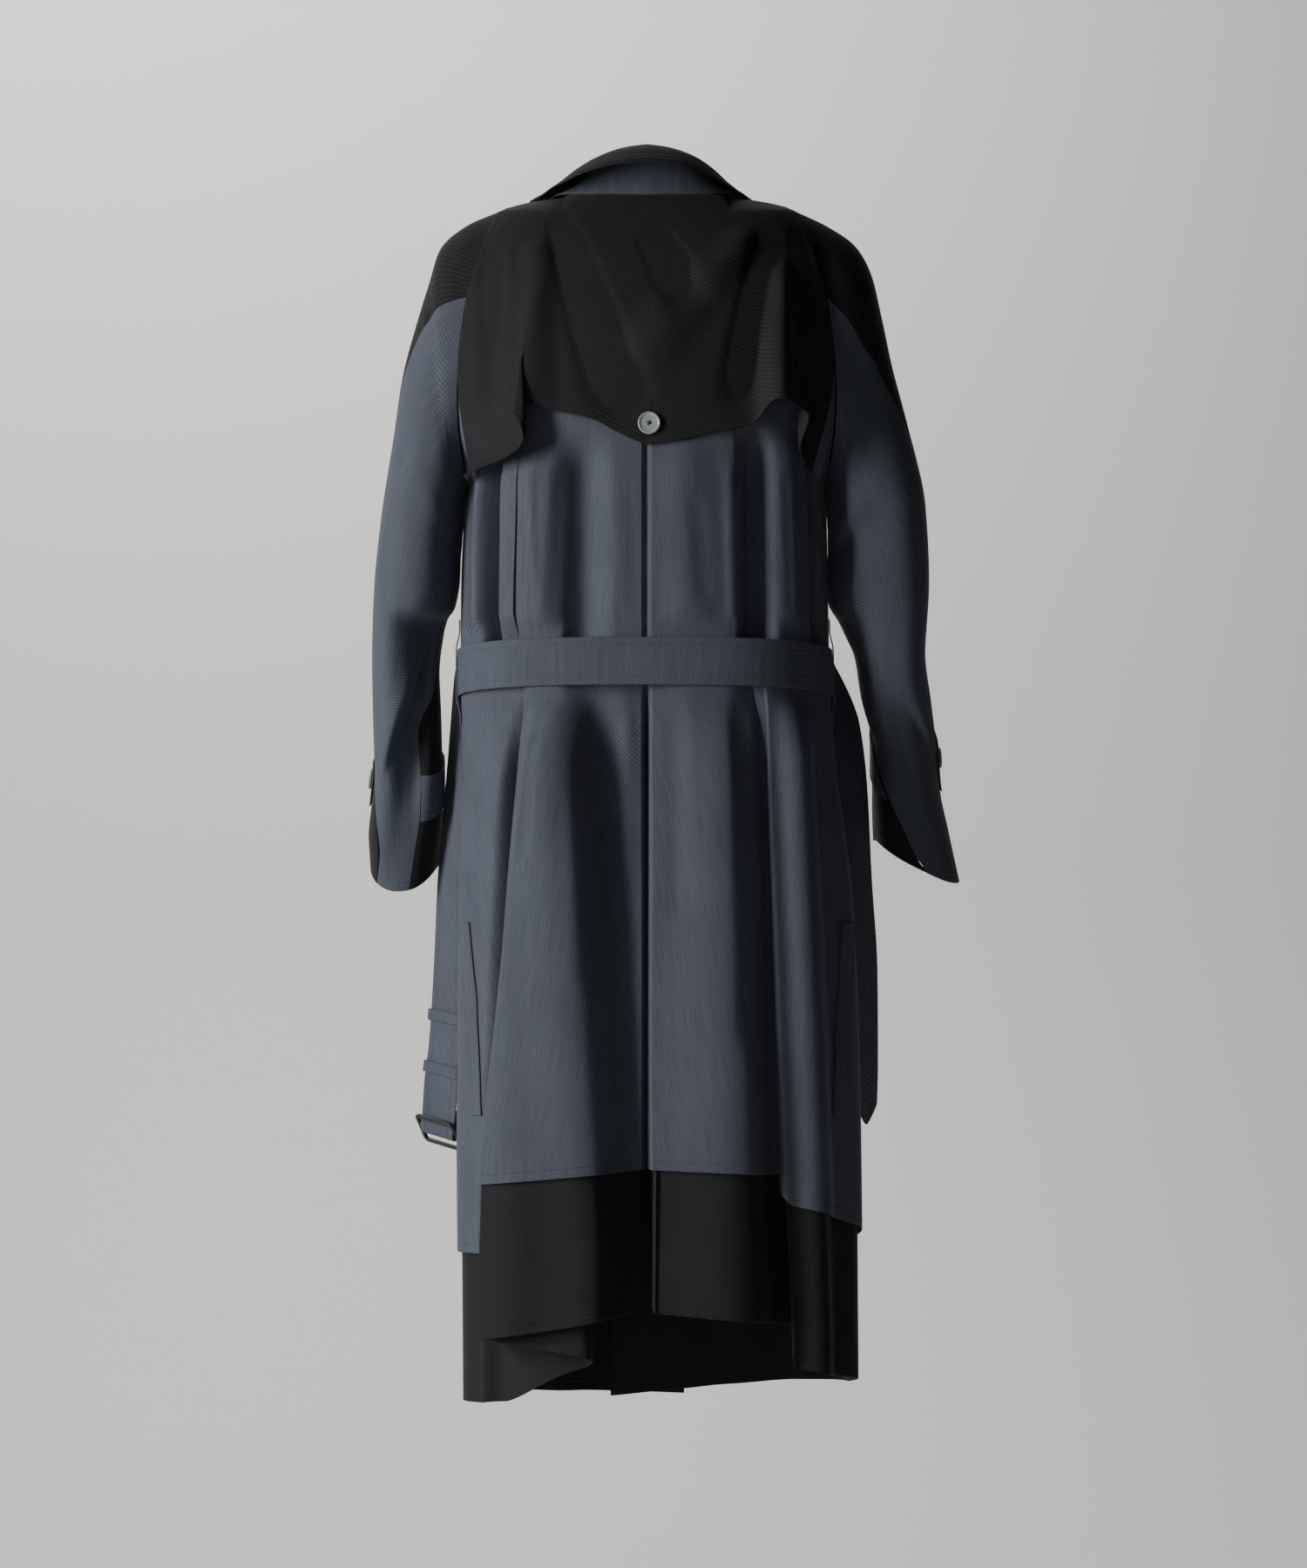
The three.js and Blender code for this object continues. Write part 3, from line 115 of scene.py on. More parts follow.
def bump(away):
    """1 at the middle, easing to 0 at a distance of 1."""
    return np.where(np.abs(away) < 1, 0.5 * (1 + np.cos(np.pi * np.clip(away, -1, 1))), 0)

def signed_power(value, power):
    return np.sign(value) * np.abs(value) ** power

def unit(vectors):
    return vectors / np.maximum(np.linalg.norm(vectors, axis=-1, keepdims=True), 1e-9)

def points(x, y, z):
    return np.stack(np.broadcast_arrays(x, y, z), axis=-1).astype(float)

# %% [markdown]
# ## The form the cloth hangs on
#
# The body is a stack of half rows, front and back for each side. Above the underarm each row runs from
# the middle seam to the armhole; below it, from the middle seam to the side seam. A `level` counts the
# rows: 0 is the neck and shoulder line, 1 the underarm, and one more level is one metre further down.

# %% Body sizes
YOKE = table("level back_y back_z front_y front_z", [
    (0.00, 70, 0, 92, -70),
    (0.15, 90, -26, 102, -86),
    (0.35, 113, -72, 116, -116),
    (0.60, 131, -148, 129, -168),
    (0.80, 137, -215, 135, -226),
    (1.00, 138, -290, 138, -290),
])
BODY = table("z left right back front", [
    (-290, 187.5, 187.5, 138, 138),
    (-330, 193.5, 190.0, 137, 138),
    (-400, 196.5, 191.5, 133, 136),
    (-488, 197.0, 193.0, 127, 133),
    (-580, 195.0, 199.0, 135, 140),
    (-700, 194.0, 208.0, 147, 149),
    (-850, 195.0, 215.0, 158, 157),
    (-1010, 197.0, 218.0, 167, 162),
    (-1270, 196.0, 220.0, 168, 164),
])
print("body:", len(YOKE["level"]), "rows down to the underarm,", len(BODY["z"]), "below it")

# %% [markdown]
# Each sleeve has its own table, because the two arms hang a little differently. A row is one ring: its
# outermost and innermost points, where its middle lies front to back, half its depth, how far front and
# back bow outward, how far the ring tips down at the back, and the angles between which the slate panel
# lies.

# %% Sleeve sizes
SLEEVE_COLUMNS = "step out_x out_z in_x in_z mid_y deep bow tip slate_from slate_to"
LEFT_SLEEVE = table(SLEEVE_COLUMNS, [
    (0, 149, 3, 188, -290, 0, 88, 22, 0, 78, 180),
    (1, 189, -14, 190.6, -301, 0, 86, 16, 0, 74, 180),
    (2, 217, -38, 192.6, -312, 0, 83, 9, 0, 68, 180),
    (3, 229, -73, 194.4, -324, 0, 80, 5, 0, 58, 180),
    (4, 243, -118, 195.9, -340, 1, 77, 3, 0, 42, 180),
    (5, 257, -170, 196.9, -360, 2, 74, 2, 0, 28, 181),
    (6, 268, -240, 198.2, -386, 3, 72, 1, 3, -6, 182),
    (7, 281, -322, 203, -415, 2, 70, 0, 6, -25, 184),
    (8, 289, -400, 213, -448, -1, 68, 0, 10, -30, 184),
    (9, 291.5, -476, 220, -492, -8, 67, 0, 16, -28, 165),
    (10, 291.5, -535, 219.5, -540, -20, 66, 0, 22, -15, 116),
    (11, 291, -580, 219.5, -582, -33, 66, 0, 25, 12, 118),
    (12, 295, -615, 219.5, -614, -44, 67, 0, 26, 35, 116),
    (13, 300, -655, 221, -650, -58, 68, 0, 27, 52, 108),
    (14, 299, -690, 224, -684, -71, 69, 0, 27, 45, 100),
])
RIGHT_SLEEVE = table(SLEEVE_COLUMNS, [
    (0, 149, 4, 188, -290, 0, 88, 22, 0, 78, 180),
    (1, 190, -15, 189.8, -301, 0, 86, 16, 0, 80, 180),
    (2, 220, -36, 190.5, -312, 0, 83, 9, 0, 80, 180),
    (3, 237, -66, 191.3, -323, 0, 80, 5, 0, 76, 180),
    (4, 248, -112, 192, -338, 1, 77, 3, 0, 65, 180),
    (5, 259, -165, 192.0, -358, 2, 74, 2, 0, 53, 181),
    (6, 276, -230, 191.9, -382, 3, 72, 1, 3, 28, 184),
    (7, 294, -310, 193.2, -412, 2, 70, 0, 6, -8, 188),
    (8, 298, -388, 206, -440, -1, 68, 0, 10, -12, 192),
    (9, 294.5, -458, 221, -470, -8, 67, 0, 16, 8, 192),
    (10, 302, -508, 229, -512, -20, 66, 0, 22, 24, 186),
    (11, 309, -556, 242, -556, -33, 66, 0, 25, 26, 164),
    (12, 313, -597, 243, -588, -44, 67, 0, 24, 12, 126),
    (13, 324, -647, 244, -624, -58, 68, 0, 18, -8, 99),
    (14, 337, -702, 246, -658, -71, 69, 0, 12, -14, 88),
])
SLEEVES = {1: LEFT_SLEEVE, -1: RIGHT_SLEEVE}
print("sleeve rings:", len(LEFT_SLEEVE["step"]), "left,", len(RIGHT_SLEEVE["step"]), "right")

# %% [markdown]
# A sleeve is a run of closed rings down the arm. 0 degrees is the outermost line of the sleeve, 90 its
# back and 180 the line under the arm. Creases are soft hollows pressed into it at the elbow, where a bent
# arm would gather the cloth.

# %% The sleeve's form
CREASES = table("side step degrees slant above below spread sink", [
    (1, 7.8, 136, -0.7, 0.2, 1.2, 52, 27),
    (1, 9.4, 108, -2.8, 0.3, 3.2, 40, 25),
    (1, 5.5, 150, -1.3, 0.35, 0.9, 40, 5),
    (1, 8.0, 240, 1.3, 0.3, 1.3, 44, 9),
    (1, 10.0, 285, 1.0, 0.4, 1.0, 36, 5),
    (-1, 7.8, 150, -1.0, 0.25, 1.0, 36, 9),
    (-1, 5.7, 138, -1.6, 0.3, 1.0, 30, 12),
    (-1, 10.6, 60, -2.0, 0.35, 1.6, 30, 8),
    (-1, 8.2, 236, 1.2, 0.3, 1.3, 44, 9),
    (-1, 10.4, 290, 1.2, 0.4, 1.0, 36, 5),
])
SINK_TO_DEPTH = 50
SINK_TO_WIDTH = 110
UPPER_ARM_SQUARENESS = 0.88
FOREARM_SQUARENESS = {1: 0.88, -1: 0.66}
FOREARM = dict(start=3, over=4)
CUFF_ROUNDING = dict(start=11.5, over=2, more=0.9)

def sleeve_point(side, step, degrees):
    """A point of the sleeve at a step down the arm and an angle round it."""
    ring = {name: read(SLEEVES[side], "step", name, step) for name in SLEEVE_COLUMNS.split()[1:]}
    sink = np.zeros(np.broadcast(step, degrees).shape)
    for i in range(len(CREASES["side"])):
        if CREASES["side"][i] == side:
            middle = CREASES["step"][i] + CREASES["slant"][i] * (degrees - CREASES["degrees"][i]) / 100
            reach = np.where(step < middle, CREASES["above"][i], CREASES["below"][i])
            along = (step - middle) / reach
            around = (degrees - CREASES["degrees"][i]) / CREASES["spread"][i]
            sink = sink + CREASES["sink"][i] * np.exp(-(along**2) - around**2)
    angle = np.radians(degrees)
    forearm = ease((step - FOREARM["start"]) / FOREARM["over"])
    power = lerp(UPPER_ARM_SQUARENESS, FOREARM_SQUARENESS[side], forearm)
    cosine = signed_power(np.cos(angle), power)
    sine = signed_power(np.sin(angle), power)
    tip = np.radians(ring["tip"])
    deep = ring["deep"] * (1 - sink / SINK_TO_DEPTH)
    middle_x = (ring["out_x"] + ring["in_x"]) / 2
    half_x = (ring["out_x"] - ring["in_x"]) / 2 * (1 - sink / SINK_TO_WIDTH)
    middle_z = (ring["out_z"] + ring["in_z"]) / 2
    half_z = (ring["out_z"] - ring["in_z"]) / 2
    x = middle_x + cosine * half_x + ring["bow"] * np.sin(angle) ** 2
    y = ring["mid_y"] + sine * deep * np.cos(tip)
    cuff = ease((step - CUFF_ROUNDING["start"]) / CUFF_ROUNDING["over"])
    rounder = 1 + CUFF_ROUNDING["more"] * cuff
    z = middle_z + cosine * half_z - np.sign(sine) * np.abs(sine) ** rounder * deep * np.sin(tip)
    return points(side * x, y, z)

def on_sleeve(side, step, degrees, out):
    """The same point moved out from the sleeve by so much, and the way the sleeve faces there."""
    step, degrees = np.broadcast_arrays(np.asarray(step, float), np.asarray(degrees, float))
    across = sleeve_point(side, step, degrees + 2) - sleeve_point(side, step, degrees - 2)
    down = sleeve_point(side, step + 0.05, degrees) - sleeve_point(side, step - 0.05, degrees)
    facing = unit(np.cross(across, down)) * -side
    return sleeve_point(side, step, degrees) + facing * np.asarray(out)[..., None], facing

print("left elbow, outermost point:", np.round(sleeve_point(1, 7.0, 0.0)).tolist(), "mm")

# %% [markdown]
# The rows of the body are squarish half ovals. Near the top they melt into the neck and shoulder line,
# which ends exactly where the sleeve's first ring begins, so the armhole seam closes by itself.

# %% The body's form
UNDERARM_Z = -290
BODY_ROUNDNESS = 2.6
NECK = dict(half=85, back=70, front=92, front_drop=70, side_rise=12, roundness=2.2)
NECK_FADES_BY = 0.15
EDGE_WITHIN = 0.985

def level_of(z):
    return 1 + (UNDERARM_Z - np.asarray(z, float)) / 1000

def height_of(level):
    return UNDERARM_Z - (np.asarray(level, float) - 1) * 1000

def body_row(side, facing, level):
    """The sizes of the half rows at these levels."""
    above = level < 1
    seam = sleeve_point(side, np.zeros_like(level), facing * 180 * np.minimum(level, 1))
    z = height_of(level)
    name = "back" if facing > 0 else "front"
    middle_y = np.where(above, read(YOKE, "level", name + "_y", level), read(BODY, "z", name, z))
    middle_z = np.where(above, read(YOKE, "level", name + "_z", level), z)
    edge_x = np.where(above, np.abs(seam[..., 0]), read(BODY, "z", "left" if side > 0 else "right", z))
    edge_y = np.where(above, np.minimum(np.abs(seam[..., 1]), middle_y * EDGE_WITHIN), 0)
    edge_z = np.where(above, seam[..., 2], z)
    turn = np.arccos(np.clip((edge_y / middle_y) ** (BODY_ROUNDNESS / 2), 0, 1))
    width = edge_x / np.sin(turn) ** (2 / BODY_ROUNDNESS)
    return dict(facing=facing, level=level, middle_y=middle_y, middle_z=middle_z, edge_x=edge_x,
                edge_z=edge_z, turn=turn, width=width)

def row_point(row, fraction):
    """A point of a row; fraction 0 is the middle seam and 1 the edge."""
    turn = row["turn"] * fraction
    x = row["width"] * np.sin(turn) ** (2 / BODY_ROUNDNESS)
    y = row["middle_y"] * np.maximum(0, np.cos(turn)) ** (2 / BODY_ROUNDNESS)
    z = lerp(row["middle_z"], row["edge_z"], (x / row["edge_x"]) ** 2)
    out = np.clip(row["level"] / NECK_FADES_BY, 0, 1)
    depth = NECK["back"] if row["facing"] > 0 else NECK["front"]
    low = 0 if row["facing"] > 0 else -NECK["front_drop"]
    capped = np.minimum(x, row["edge_x"])
    part = np.minimum(1, capped / NECK["half"])
    neck_y = depth * (1 - part ** NECK["roundness"]) ** (1 / NECK["roundness"])
    along = np.clip((capped - NECK["half"]) / (row["edge_x"] - NECK["half"]), 0, 1)
    shoulder_z = lerp(NECK["side_rise"], row["edge_z"], along**1.5)
    neck_z = np.where(capped < NECK["half"], lerp(low, NECK["side_rise"], part**2), shoulder_z)
    return points(x, lerp(neck_y, y, out), lerp(neck_z, z, out**1.6))

print("the underarm is level", float(level_of(UNDERARM_Z)), "and the hem about", float(level_of(-1100)))

# %% [markdown]
# Each quarter of the body is surveyed once: a lattice of its points, with the way the form faces at each,
# and the true length of every row. Pieces are then laid out in millimetres along a row, as a cutter would
# measure them with a tape.

# %% The survey
LEVELS = np.concatenate(
    [np.linspace(0, 0.15, 46)[:-1], np.linspace(0.15, 1, 140)[:-1], np.linspace(1, 2.04, 240)]
)
PARTS = np.linspace(-0.3, 1, 211)
ROW_PARTS = 96
# Next to the neck seam the rows are too close to tell which way the form faces.
STEADY_FROM = 0.012
BELT_TOP_Z = -464
BELT_BOTTOM_Z = -512
SURVEYS = {}

def survey(side, facing):
    level = LEVELS[:, None]
    row = body_row(side, facing, level)
    fractions = np.linspace(0, 1, ROW_PARTS + 1)[None, :]
    walked = row_point(row, fractions)
    steps = np.linalg.norm(np.diff(walked, axis=1), axis=2)
    lengths = np.concatenate([np.zeros((len(LEVELS), 1)), np.cumsum(steps, axis=1)], axis=1)
    length = lengths[:, -1]
    places = np.empty((len(LEVELS), len(PARTS), 3))
    for i, run in enumerate(lengths):
        fraction = np.interp(np.abs(PARTS) * run[-1], run, fractions[0])
        one = {name: value[i] if isinstance(value, np.ndarray) else value for name, value in row.items()}
        places[i] = row_point(one, fraction)
    places[..., 0] *= np.where(PARTS < 0, -side, side)[None, :]
    places[..., 1] *= facing
    across = np.gradient(places, PARTS, axis=1)
    down = np.gradient(places, LEVELS, axis=0)
    outward = unit(np.cross(across, down)) * (side * facing)
    steady = np.searchsorted(LEVELS, STEADY_FROM)
    outward[:steady] = outward[steady]
    SURVEYS[side, facing] = dict(length=length, places=places, outward=outward)

def row_length(side, facing, level):
    return np.interp(level, LEVELS, SURVEYS[side, facing]["length"])

def off_body(side, facing, level, distance, out=0.0):
    """The point at a distance along a row, moved out from the form."""
    level, distance, out = np.broadcast_arrays(np.asarray(level, float), distance, out)
    known = SURVEYS[side, facing]
    part = np.clip(distance / row_length(side, facing, level), PARTS[0], PARTS[-1])
    i = np.clip(np.searchsorted(LEVELS, level, side="right") - 1, 0, len(LEVELS) - 2)
    j = np.clip(np.searchsorted(PARTS, part, side="right") - 1, 0, len(PARTS) - 2)
    v = ((np.clip(level, 0, LEVELS[-1]) - LEVELS[i]) / (LEVELS[i + 1] - LEVELS[i]))[..., None]
    u = ((part - PARTS[j]) / (PARTS[j + 1] - PARTS[j]))[..., None]

    def mix(grid):
        upper = lerp(grid[i, j], grid[i, j + 1], u)
        lower = lerp(grid[i + 1, j], grid[i + 1, j + 1], u)
        return lerp(upper, lower, v)

    return mix(known["places"]) + unit(mix(known["outward"])) * out[..., None]

for side in (1, -1):
    for facing in (1, -1):
        survey(side, facing)
print("back row at the belt:", round(float(row_length(1, 1, level_of(BELT_TOP_Z))), 1), "mm each side")

# %% [markdown]
# ## Folds
#
# Two knife pleats run up the back, one in each panel. In a knife pleat the cloth lies in three layers: it
# reaches a folded edge, turns under, runs back, turns again and goes on. `edge` is where the folded edge
# lies from the middle seam, `depth` how far the cloth runs back under it, and `upper` and `lower` are the
# gaps between the layers. Above the belt the depth is less than nothing: the cloth is not folded yet, and
# only rolls. A pleat could also be a separate strip laid on top, but it would end in an edge, where real
# cloth just turns.

# %% The two knife pleats
LEFT_PLEAT = table("z edge depth upper lower", [
    (0, 100, -30, 0.3, 0.3),
    (-200, 108, -26, 1, 1),
    (-300, 111, -20, 1.5, 1.5),
    (-450, 121, -14, 2, 2),
    (-520, 124, -8, 4, 3),
    (-600, 133, 6, 8, 5),
    (-700, 144, 28, 10, 6),
    (-780, 152, 46, 11, 6),
    (-880, 163, 74, 13, 7),
    (-1010, 181, 104, 14, 7),
    (-1180, 188, 118, 15, 8),
])
RIGHT_PLEAT = table("z edge depth upper lower", [
    (0, 112, -30, 0.2, 0.2),
    (-470, 124, -26, 1, 1),
    (-520, 126, -14, 4, 3),
    (-600, 130, 2, 7, 5),
    (-760, 137, 20, 10, 6),
    (-1010, 148, 38, 14, 7),
    (-1180, 158, 40, 14, 8),
])
print("pleats at the hem run under by", LEFT_PLEAT["depth"][-1], "and", RIGHT_PLEAT["depth"][-1], "mm")

# %% [markdown]
# A soft fold runs from one height to another, at a distance from the middle seam, and rises above the
# cloth or sinks into it. `bend` curves its path, `reach` is half its width, and `grow` the height over
# which it swells.

# %% Large soft folds
FOLD_COLUMNS = "side facing from_z from_at to_z to_at bend reach rise grow"
SOFT_FOLDS = table(FOLD_COLUMNS, [
    (1, 1, -250, 208, -462, 212, 1, 16, -16, 45),
    (1, 1, -250, 188, -462, 189, 1, 13, 8, 45),
    (1, 1, -250, 166, -512, 168, 1, 17, -30, 45),
    (1, 1, -250, 128, -480, 130, 1, 75, 14, 60),
    (1, 1, -250, 64, -514, 66, 1, 34, -13, 45),
    (1, 1, -500, 126, -1080, 158, 1, 104, 24, 120),
    (1, 1, -500, 108, -1080, 58, 0.6, 58, 12, 110),
    (1, 1, -466, 72, -1080, 8, 0.6, 40, -9, 50),
    (1, 1, -470, 0, -1080, 0, 1, 70, -10, 60),
    (-1, 1, -470, 0, -1080, 0, 1, 50, -5, 60),
    (-1, 1, -250, 113, -514, 116, 1, 24, -24, 45),
    (-1, 1, -250, 36, -462, 44, 1, 36, 4, 45),
    (-1, 1, -250, 150, -462, 156, 1, 20, 5, 45),
    (-1, 1, -250, 198, -512, 202, 1, 20, -20, 45),
    (-1, 1, -500, 78, -1080, 90, 1, 62, 11, 130),
    (-1, 1, -500, 154, -1180, 188, 1, 34, 15, 90),
    (1, -1, -300, 132, -1180, 150, 1, 40, 6, 120),
    (1, -1, -520, 92, -1180, 98, 1, 34, -6, 120),
    (-1, -1, -280, 122, -1180, 156, 1, 38, 6, 120),
    (-1, -1, -540, 94, -1180, 102, 1, 36, -7, 120),
])
print("large folds:", len(SOFT_FOLDS["side"]))

# %% [markdown]
# The finer drape is told in the same way: narrow folds a millimetre or two high, no two alike.

# %% Finer drape
FINE_FOLDS = table(FOLD_COLUMNS, [
    (1, 1, -270, 118, -420, 112, 1, 9, 1.6, 45),
    (1, 1, -280, 88, -455, 96, 1, 11, -1.4, 45),
    (1, 1, -300, 30, -440, 26, 1, 16, 1.1, 45),
    (-1, 1, -268, 84, -455, 88, 1, 9, 1.5, 45),
    (-1, 1, -300, 48, -430, 58, 1, 16, -1.2, 45),
    (-1, 1, -270, 146, -450, 152, 1, 8, -1.6, 45),
    (1, 1, -516, 22, -720, 18, 1, 14, 1.6, 45),
    (1, 1, -516, 68, -840, 72, 1, 15, 1.5, 45),
    (1, 1, -516, 108, -700, 118, 1, 12, -2.2, 45),
    (-1, 1, -516, 30, -760, 34, 1, 18, -1.6, 45),
    (-1, 1, -516, 92, -900, 100, 1, 14, -2.4, 45),
    (-1, 1, -516, 110, -760, 120, 1, 10, 2.0, 45),
    (-1, 1, -560, 186, -900, 214, 1, 12, -2.4, 45),
    (1, 1, -560, 180, -860, 200, 1, 12, -1.8, 45),
    (1, -1, -320, 60, -620, 66, 1, 18, -1.8, 45),
    (1, -1, -540, 170, -980, 182, 1, 16, -2.2, 45),
    (-1, -1, -320, 66, -600, 70, 1, 18, -1.8, 45),
    (-1, -1, -540, 176, -980, 190, 1, 16, -2.2, 45),
])
print("fine folds:", len(FINE_FOLDS["side"]))

# %% [markdown]
# More shapes the skirt: its back corners stand out, a slanting step lowers the left panel next to the
# middle, the belt presses every ridge flat, the middle seam is a groove, and the front is hollowed where
# the buckle swings against it.

# %% How folds lift the cloth
CORNER_RISE = {1: 11, -1: 10}
CORNER = dict(start=-520, full=-760, before_seam=52, reach=50)
PRESS = 28
STEP = dict(side=1, from_z=-490, from_at=72, to_z=-1080, to_at=30, bend=0.6, wide=46, drop=9, grow=80)
GROOVE = dict(deep=13, seam_deep=3.2, half=3, start=-500, full=-560)
BUCKLE_BED = dict(side=1, from_z=-890, to_z=-1070, before_seam=30, reach=38, deep=13, grow=50)
HEM_REACHED_Z = -1000
FOLD_ENDING = 8

def fold_lift(folds, side, facing, z, distance):
    lift = np.zeros(np.broadcast(z, distance).shape)
    for i in np.flatnonzero((folds["side"] == side) & (folds["facing"] == facing)):
        fold = {name: values[i] for name, values in folds.items()}
        part = (z - fold["from_z"]) / (fold["to_z"] - fold["from_z"])
        ending = 1 if fold["to_z"] < HEM_REACHED_Z else ease((1 - part) * FOLD_ENDING)
        strength = ease((fold["from_z"] - z) / fold["grow"]) * ending
        middle = lerp(fold["from_at"], fold["to_at"], np.clip(part, 0, 1) ** fold["bend"])
        lift = lift + strength * fold["rise"] * bump((distance - middle) / fold["reach"])
    return lift

def step_lift(z, distance):
    """The left panel lies lower next to the middle, along a slanting step."""
    part = np.clip((z - STEP["from_z"]) / (STEP["to_z"] - STEP["from_z"]), 0, 1)
    middle = lerp(STEP["from_at"], STEP["to_at"], part ** STEP["bend"])
    lowered = ease((middle - distance) / STEP["wide"] + 0.5)
    return -STEP["drop"] * lowered * ease((STEP["from_z"] - z) / STEP["grow"])

def corner_lift(side, z, distance, length):
    """The cloth beside a side seam stands out, more and more down the skirt."""
    strength = ease((CORNER["start"] - z) / (CORNER["start"] - CORNER["full"]))
    across = (distance - length + CORNER["before_seam"]) / CORNER["reach"]
    return strength * CORNER_RISE[side] * bump(across)

def buckle_bed(z, distance, length):
    """A shallow hollow in the front beside the side seam, where the buckle swings."""
    strength = ease((BUCKLE_BED["from_z"] - z) / BUCKLE_BED["grow"])
    strength = strength * ease((z - BUCKLE_BED["to_z"]) / BUCKLE_BED["grow"])
    across = (distance - length + BUCKLE_BED["before_seam"]) / BUCKLE_BED["reach"]
    return -BUCKLE_BED["deep"] * strength * bump(across)

def soft_lift(side, facing, z, distance, length):
    """How far all the folds together lift the cloth at a place."""
    folds = [fold_lift(each, side, facing, z, distance) for each in (SOFT_FOLDS, FINE_FOLDS)]
    lift = folds[0] + folds[1]
    if facing < 0:
        return lift + buckle_bed(z, distance, length) if side == BUCKLE_BED["side"] else lift
    if side == STEP["side"]:
        lift = lift + step_lift(z, distance)
    lift = lift + corner_lift(side, z, distance, length)
    pressed = ease((BELT_TOP_Z + PRESS - z) / PRESS) * ease((z - BELT_BOTTOM_Z + PRESS) / PRESS)
    return np.where(lift > 0, lift * (1 - pressed), lift)

def groove_lift(side, z, distance):
    """The centre back seam, drawn in to a narrow groove below the belt.

    The higher panel turns in by as much more as it stands above the other, so the two meet.
    """
    opened = ease((GROOVE["start"] - z) / (GROOVE["start"] - GROOVE["full"]))
    deep = lerp(GROOVE["seam_deep"], GROOVE["deep"], opened)
    far = row_length(side, 1, level_of(z))
    above = soft_lift(side, 1, z, 0, far) - soft_lift(-side, 1, z, 0, far)
    return -(deep + np.maximum(above, 0)) * (1 - ease(distance / (2 * GROOVE["half"]))) ** 2

print("the corners of the skirt stand out by", CORNER_RISE[1], "mm left,", CORNER_RISE[-1], "mm right")

# %% [markdown]
# A back panel is followed along its own cloth, from the middle seam (0) to the side edge (1). Four marks
# along it say where the pleat's two turns begin and end. Only so can three layers lie over one spot; a
# height field could not fold. A front panel has no pleat.

# %% Where the cloth of a panel lies
SEAM = 0.15
PLEAT_MARKS = (0.45, 0.52, 0.62, 0.69)
PLEAT_EDGE_WITHIN = 0.62
PLEAT_FORMS = dict(depth=-26, over=34)
PLEAT_SLOPE = dict(before=46, over=40)
EDGE_MARGIN = dict(before=16, after=18)
FLAP_BED = dict(deep=1.3, from_level=0.01, growing=0.05, to_level=0.9, ending=0.12)
OVERLAP = 41
LAP = dict(out=1.5, under=7, from_z=-790, fade=85, reach=60)

def back_place(side, level, cloth):
    """How far along its row a point of a back panel lies, and how far it is lifted."""
    level, cloth = np.broadcast_arrays(np.asarray(level, float), np.asarray(cloth, float))
    length = row_length(side, 1, level)
    z = np.where(level < 1, off_body(side, 1, level, length * cloth)[..., 2], height_of(level))
    pleat = LEFT_PLEAT if side > 0 else RIGHT_PLEAT
    edge = np.minimum(read(pleat, "z", "edge", z), length * PLEAT_EDGE_WITHIN)
    depth = read(pleat, "z", "depth", z)
    upper = read(pleat, "z", "upper", z)
    lower = read(pleat, "z", "lower", z)
    total = upper + lower
    folded = ease((depth - PLEAT_FORMS["depth"]) / PLEAT_FORMS["over"])
    first, second, third, fourth = PLEAT_MARKS
    if side > 0:
        first_end, last_start, first_gap, second_gap = edge, edge - depth, upper, lower
    else:
        first_end, last_start, first_gap, second_gap = edge + depth, edge, lower, upper
    near = lerp(SEAM, first_end, cloth / first)
    far = lerp(last_start, length - SEAM, (cloth - fourth) / (1 - fourth))
    turn_one = np.pi * np.clip((cloth - first) / (second - first), 0, 1)
    turn_two = np.pi * np.clip((cloth - third) / (fourth - third), 0, 1)
    back = np.clip((cloth - second) / (third - second), 0, 1)
    flat = (cloth - first) / (fourth - first)
    bulge = first_gap / 2 * np.sin(turn_one) - second_gap / 2 * np.sin(turn_two)
    under = lerp(lerp(first_end, last_start, flat), lerp(first_end, last_start, back) + bulge, folded)
    distance = np.where(cloth <= first, near, np.where(cloth >= fourth, far, under))
    dropped = first_gap / 2 * (1 - np.cos(turn_one)) + second_gap / 2 * (1 - np.cos(turn_two))
    fallen = lerp(total * ease(flat), dropped, folded)
    if side > 0:
        last_drop = total * (1 - ease((distance - edge) / (length - edge)))
        drop = np.where(cloth <= first, 0, np.where(cloth >= fourth, last_drop, fallen))
    else:
        first_drop = total * ease((distance - edge + PLEAT_SLOPE["before"]) / PLEAT_SLOPE["over"])
        drop = np.where(cloth <= first, first_drop, np.where(cloth >= fourth, 0, total - fallen))
    before = 1 - ease((distance - edge + EDGE_MARGIN["before"]) / EDGE_MARGIN["before"])
    after = ease((distance - edge) / EDGE_MARGIN["after"])
    layered = np.where(cloth <= first, before, np.where(cloth >= fourth, after, 0))
    soft = soft_lift(side, 1, z, distance, length) * lerp(1, layered, folded)
    bed = FLAP_BED["deep"] * ease((level - FLAP_BED["from_level"]) / FLAP_BED["growing"])
    bed = bed * ease((FLAP_BED["to_level"] - level) / FLAP_BED["ending"])
    return distance, soft + groove_lift(side, z, distance) - drop - bed

def front_place(side, level, cloth):
    """The same for a front panel, from the side seam (0) to the button edge (1)."""
    level, cloth = np.broadcast_arrays(np.asarray(level, float), np.asarray(cloth, float))
    length = row_length(side, -1, level)
    distance = lerp(length - SEAM, -OVERLAP, cloth)
    z = np.where(level < 1, off_body(side, -1, level, np.abs(distance))[..., 2], height_of(level))
    below = LAP["under"] * ease((LAP["from_z"] - z) / LAP["fade"])
    sunk = LAP["out"] if side > 0 else -LAP["out"] - below
    layer = sunk * ease(1 - (distance - OVERLAP) / LAP["reach"])
    return distance, layer + soft_lift(side, -1, z, distance, length)

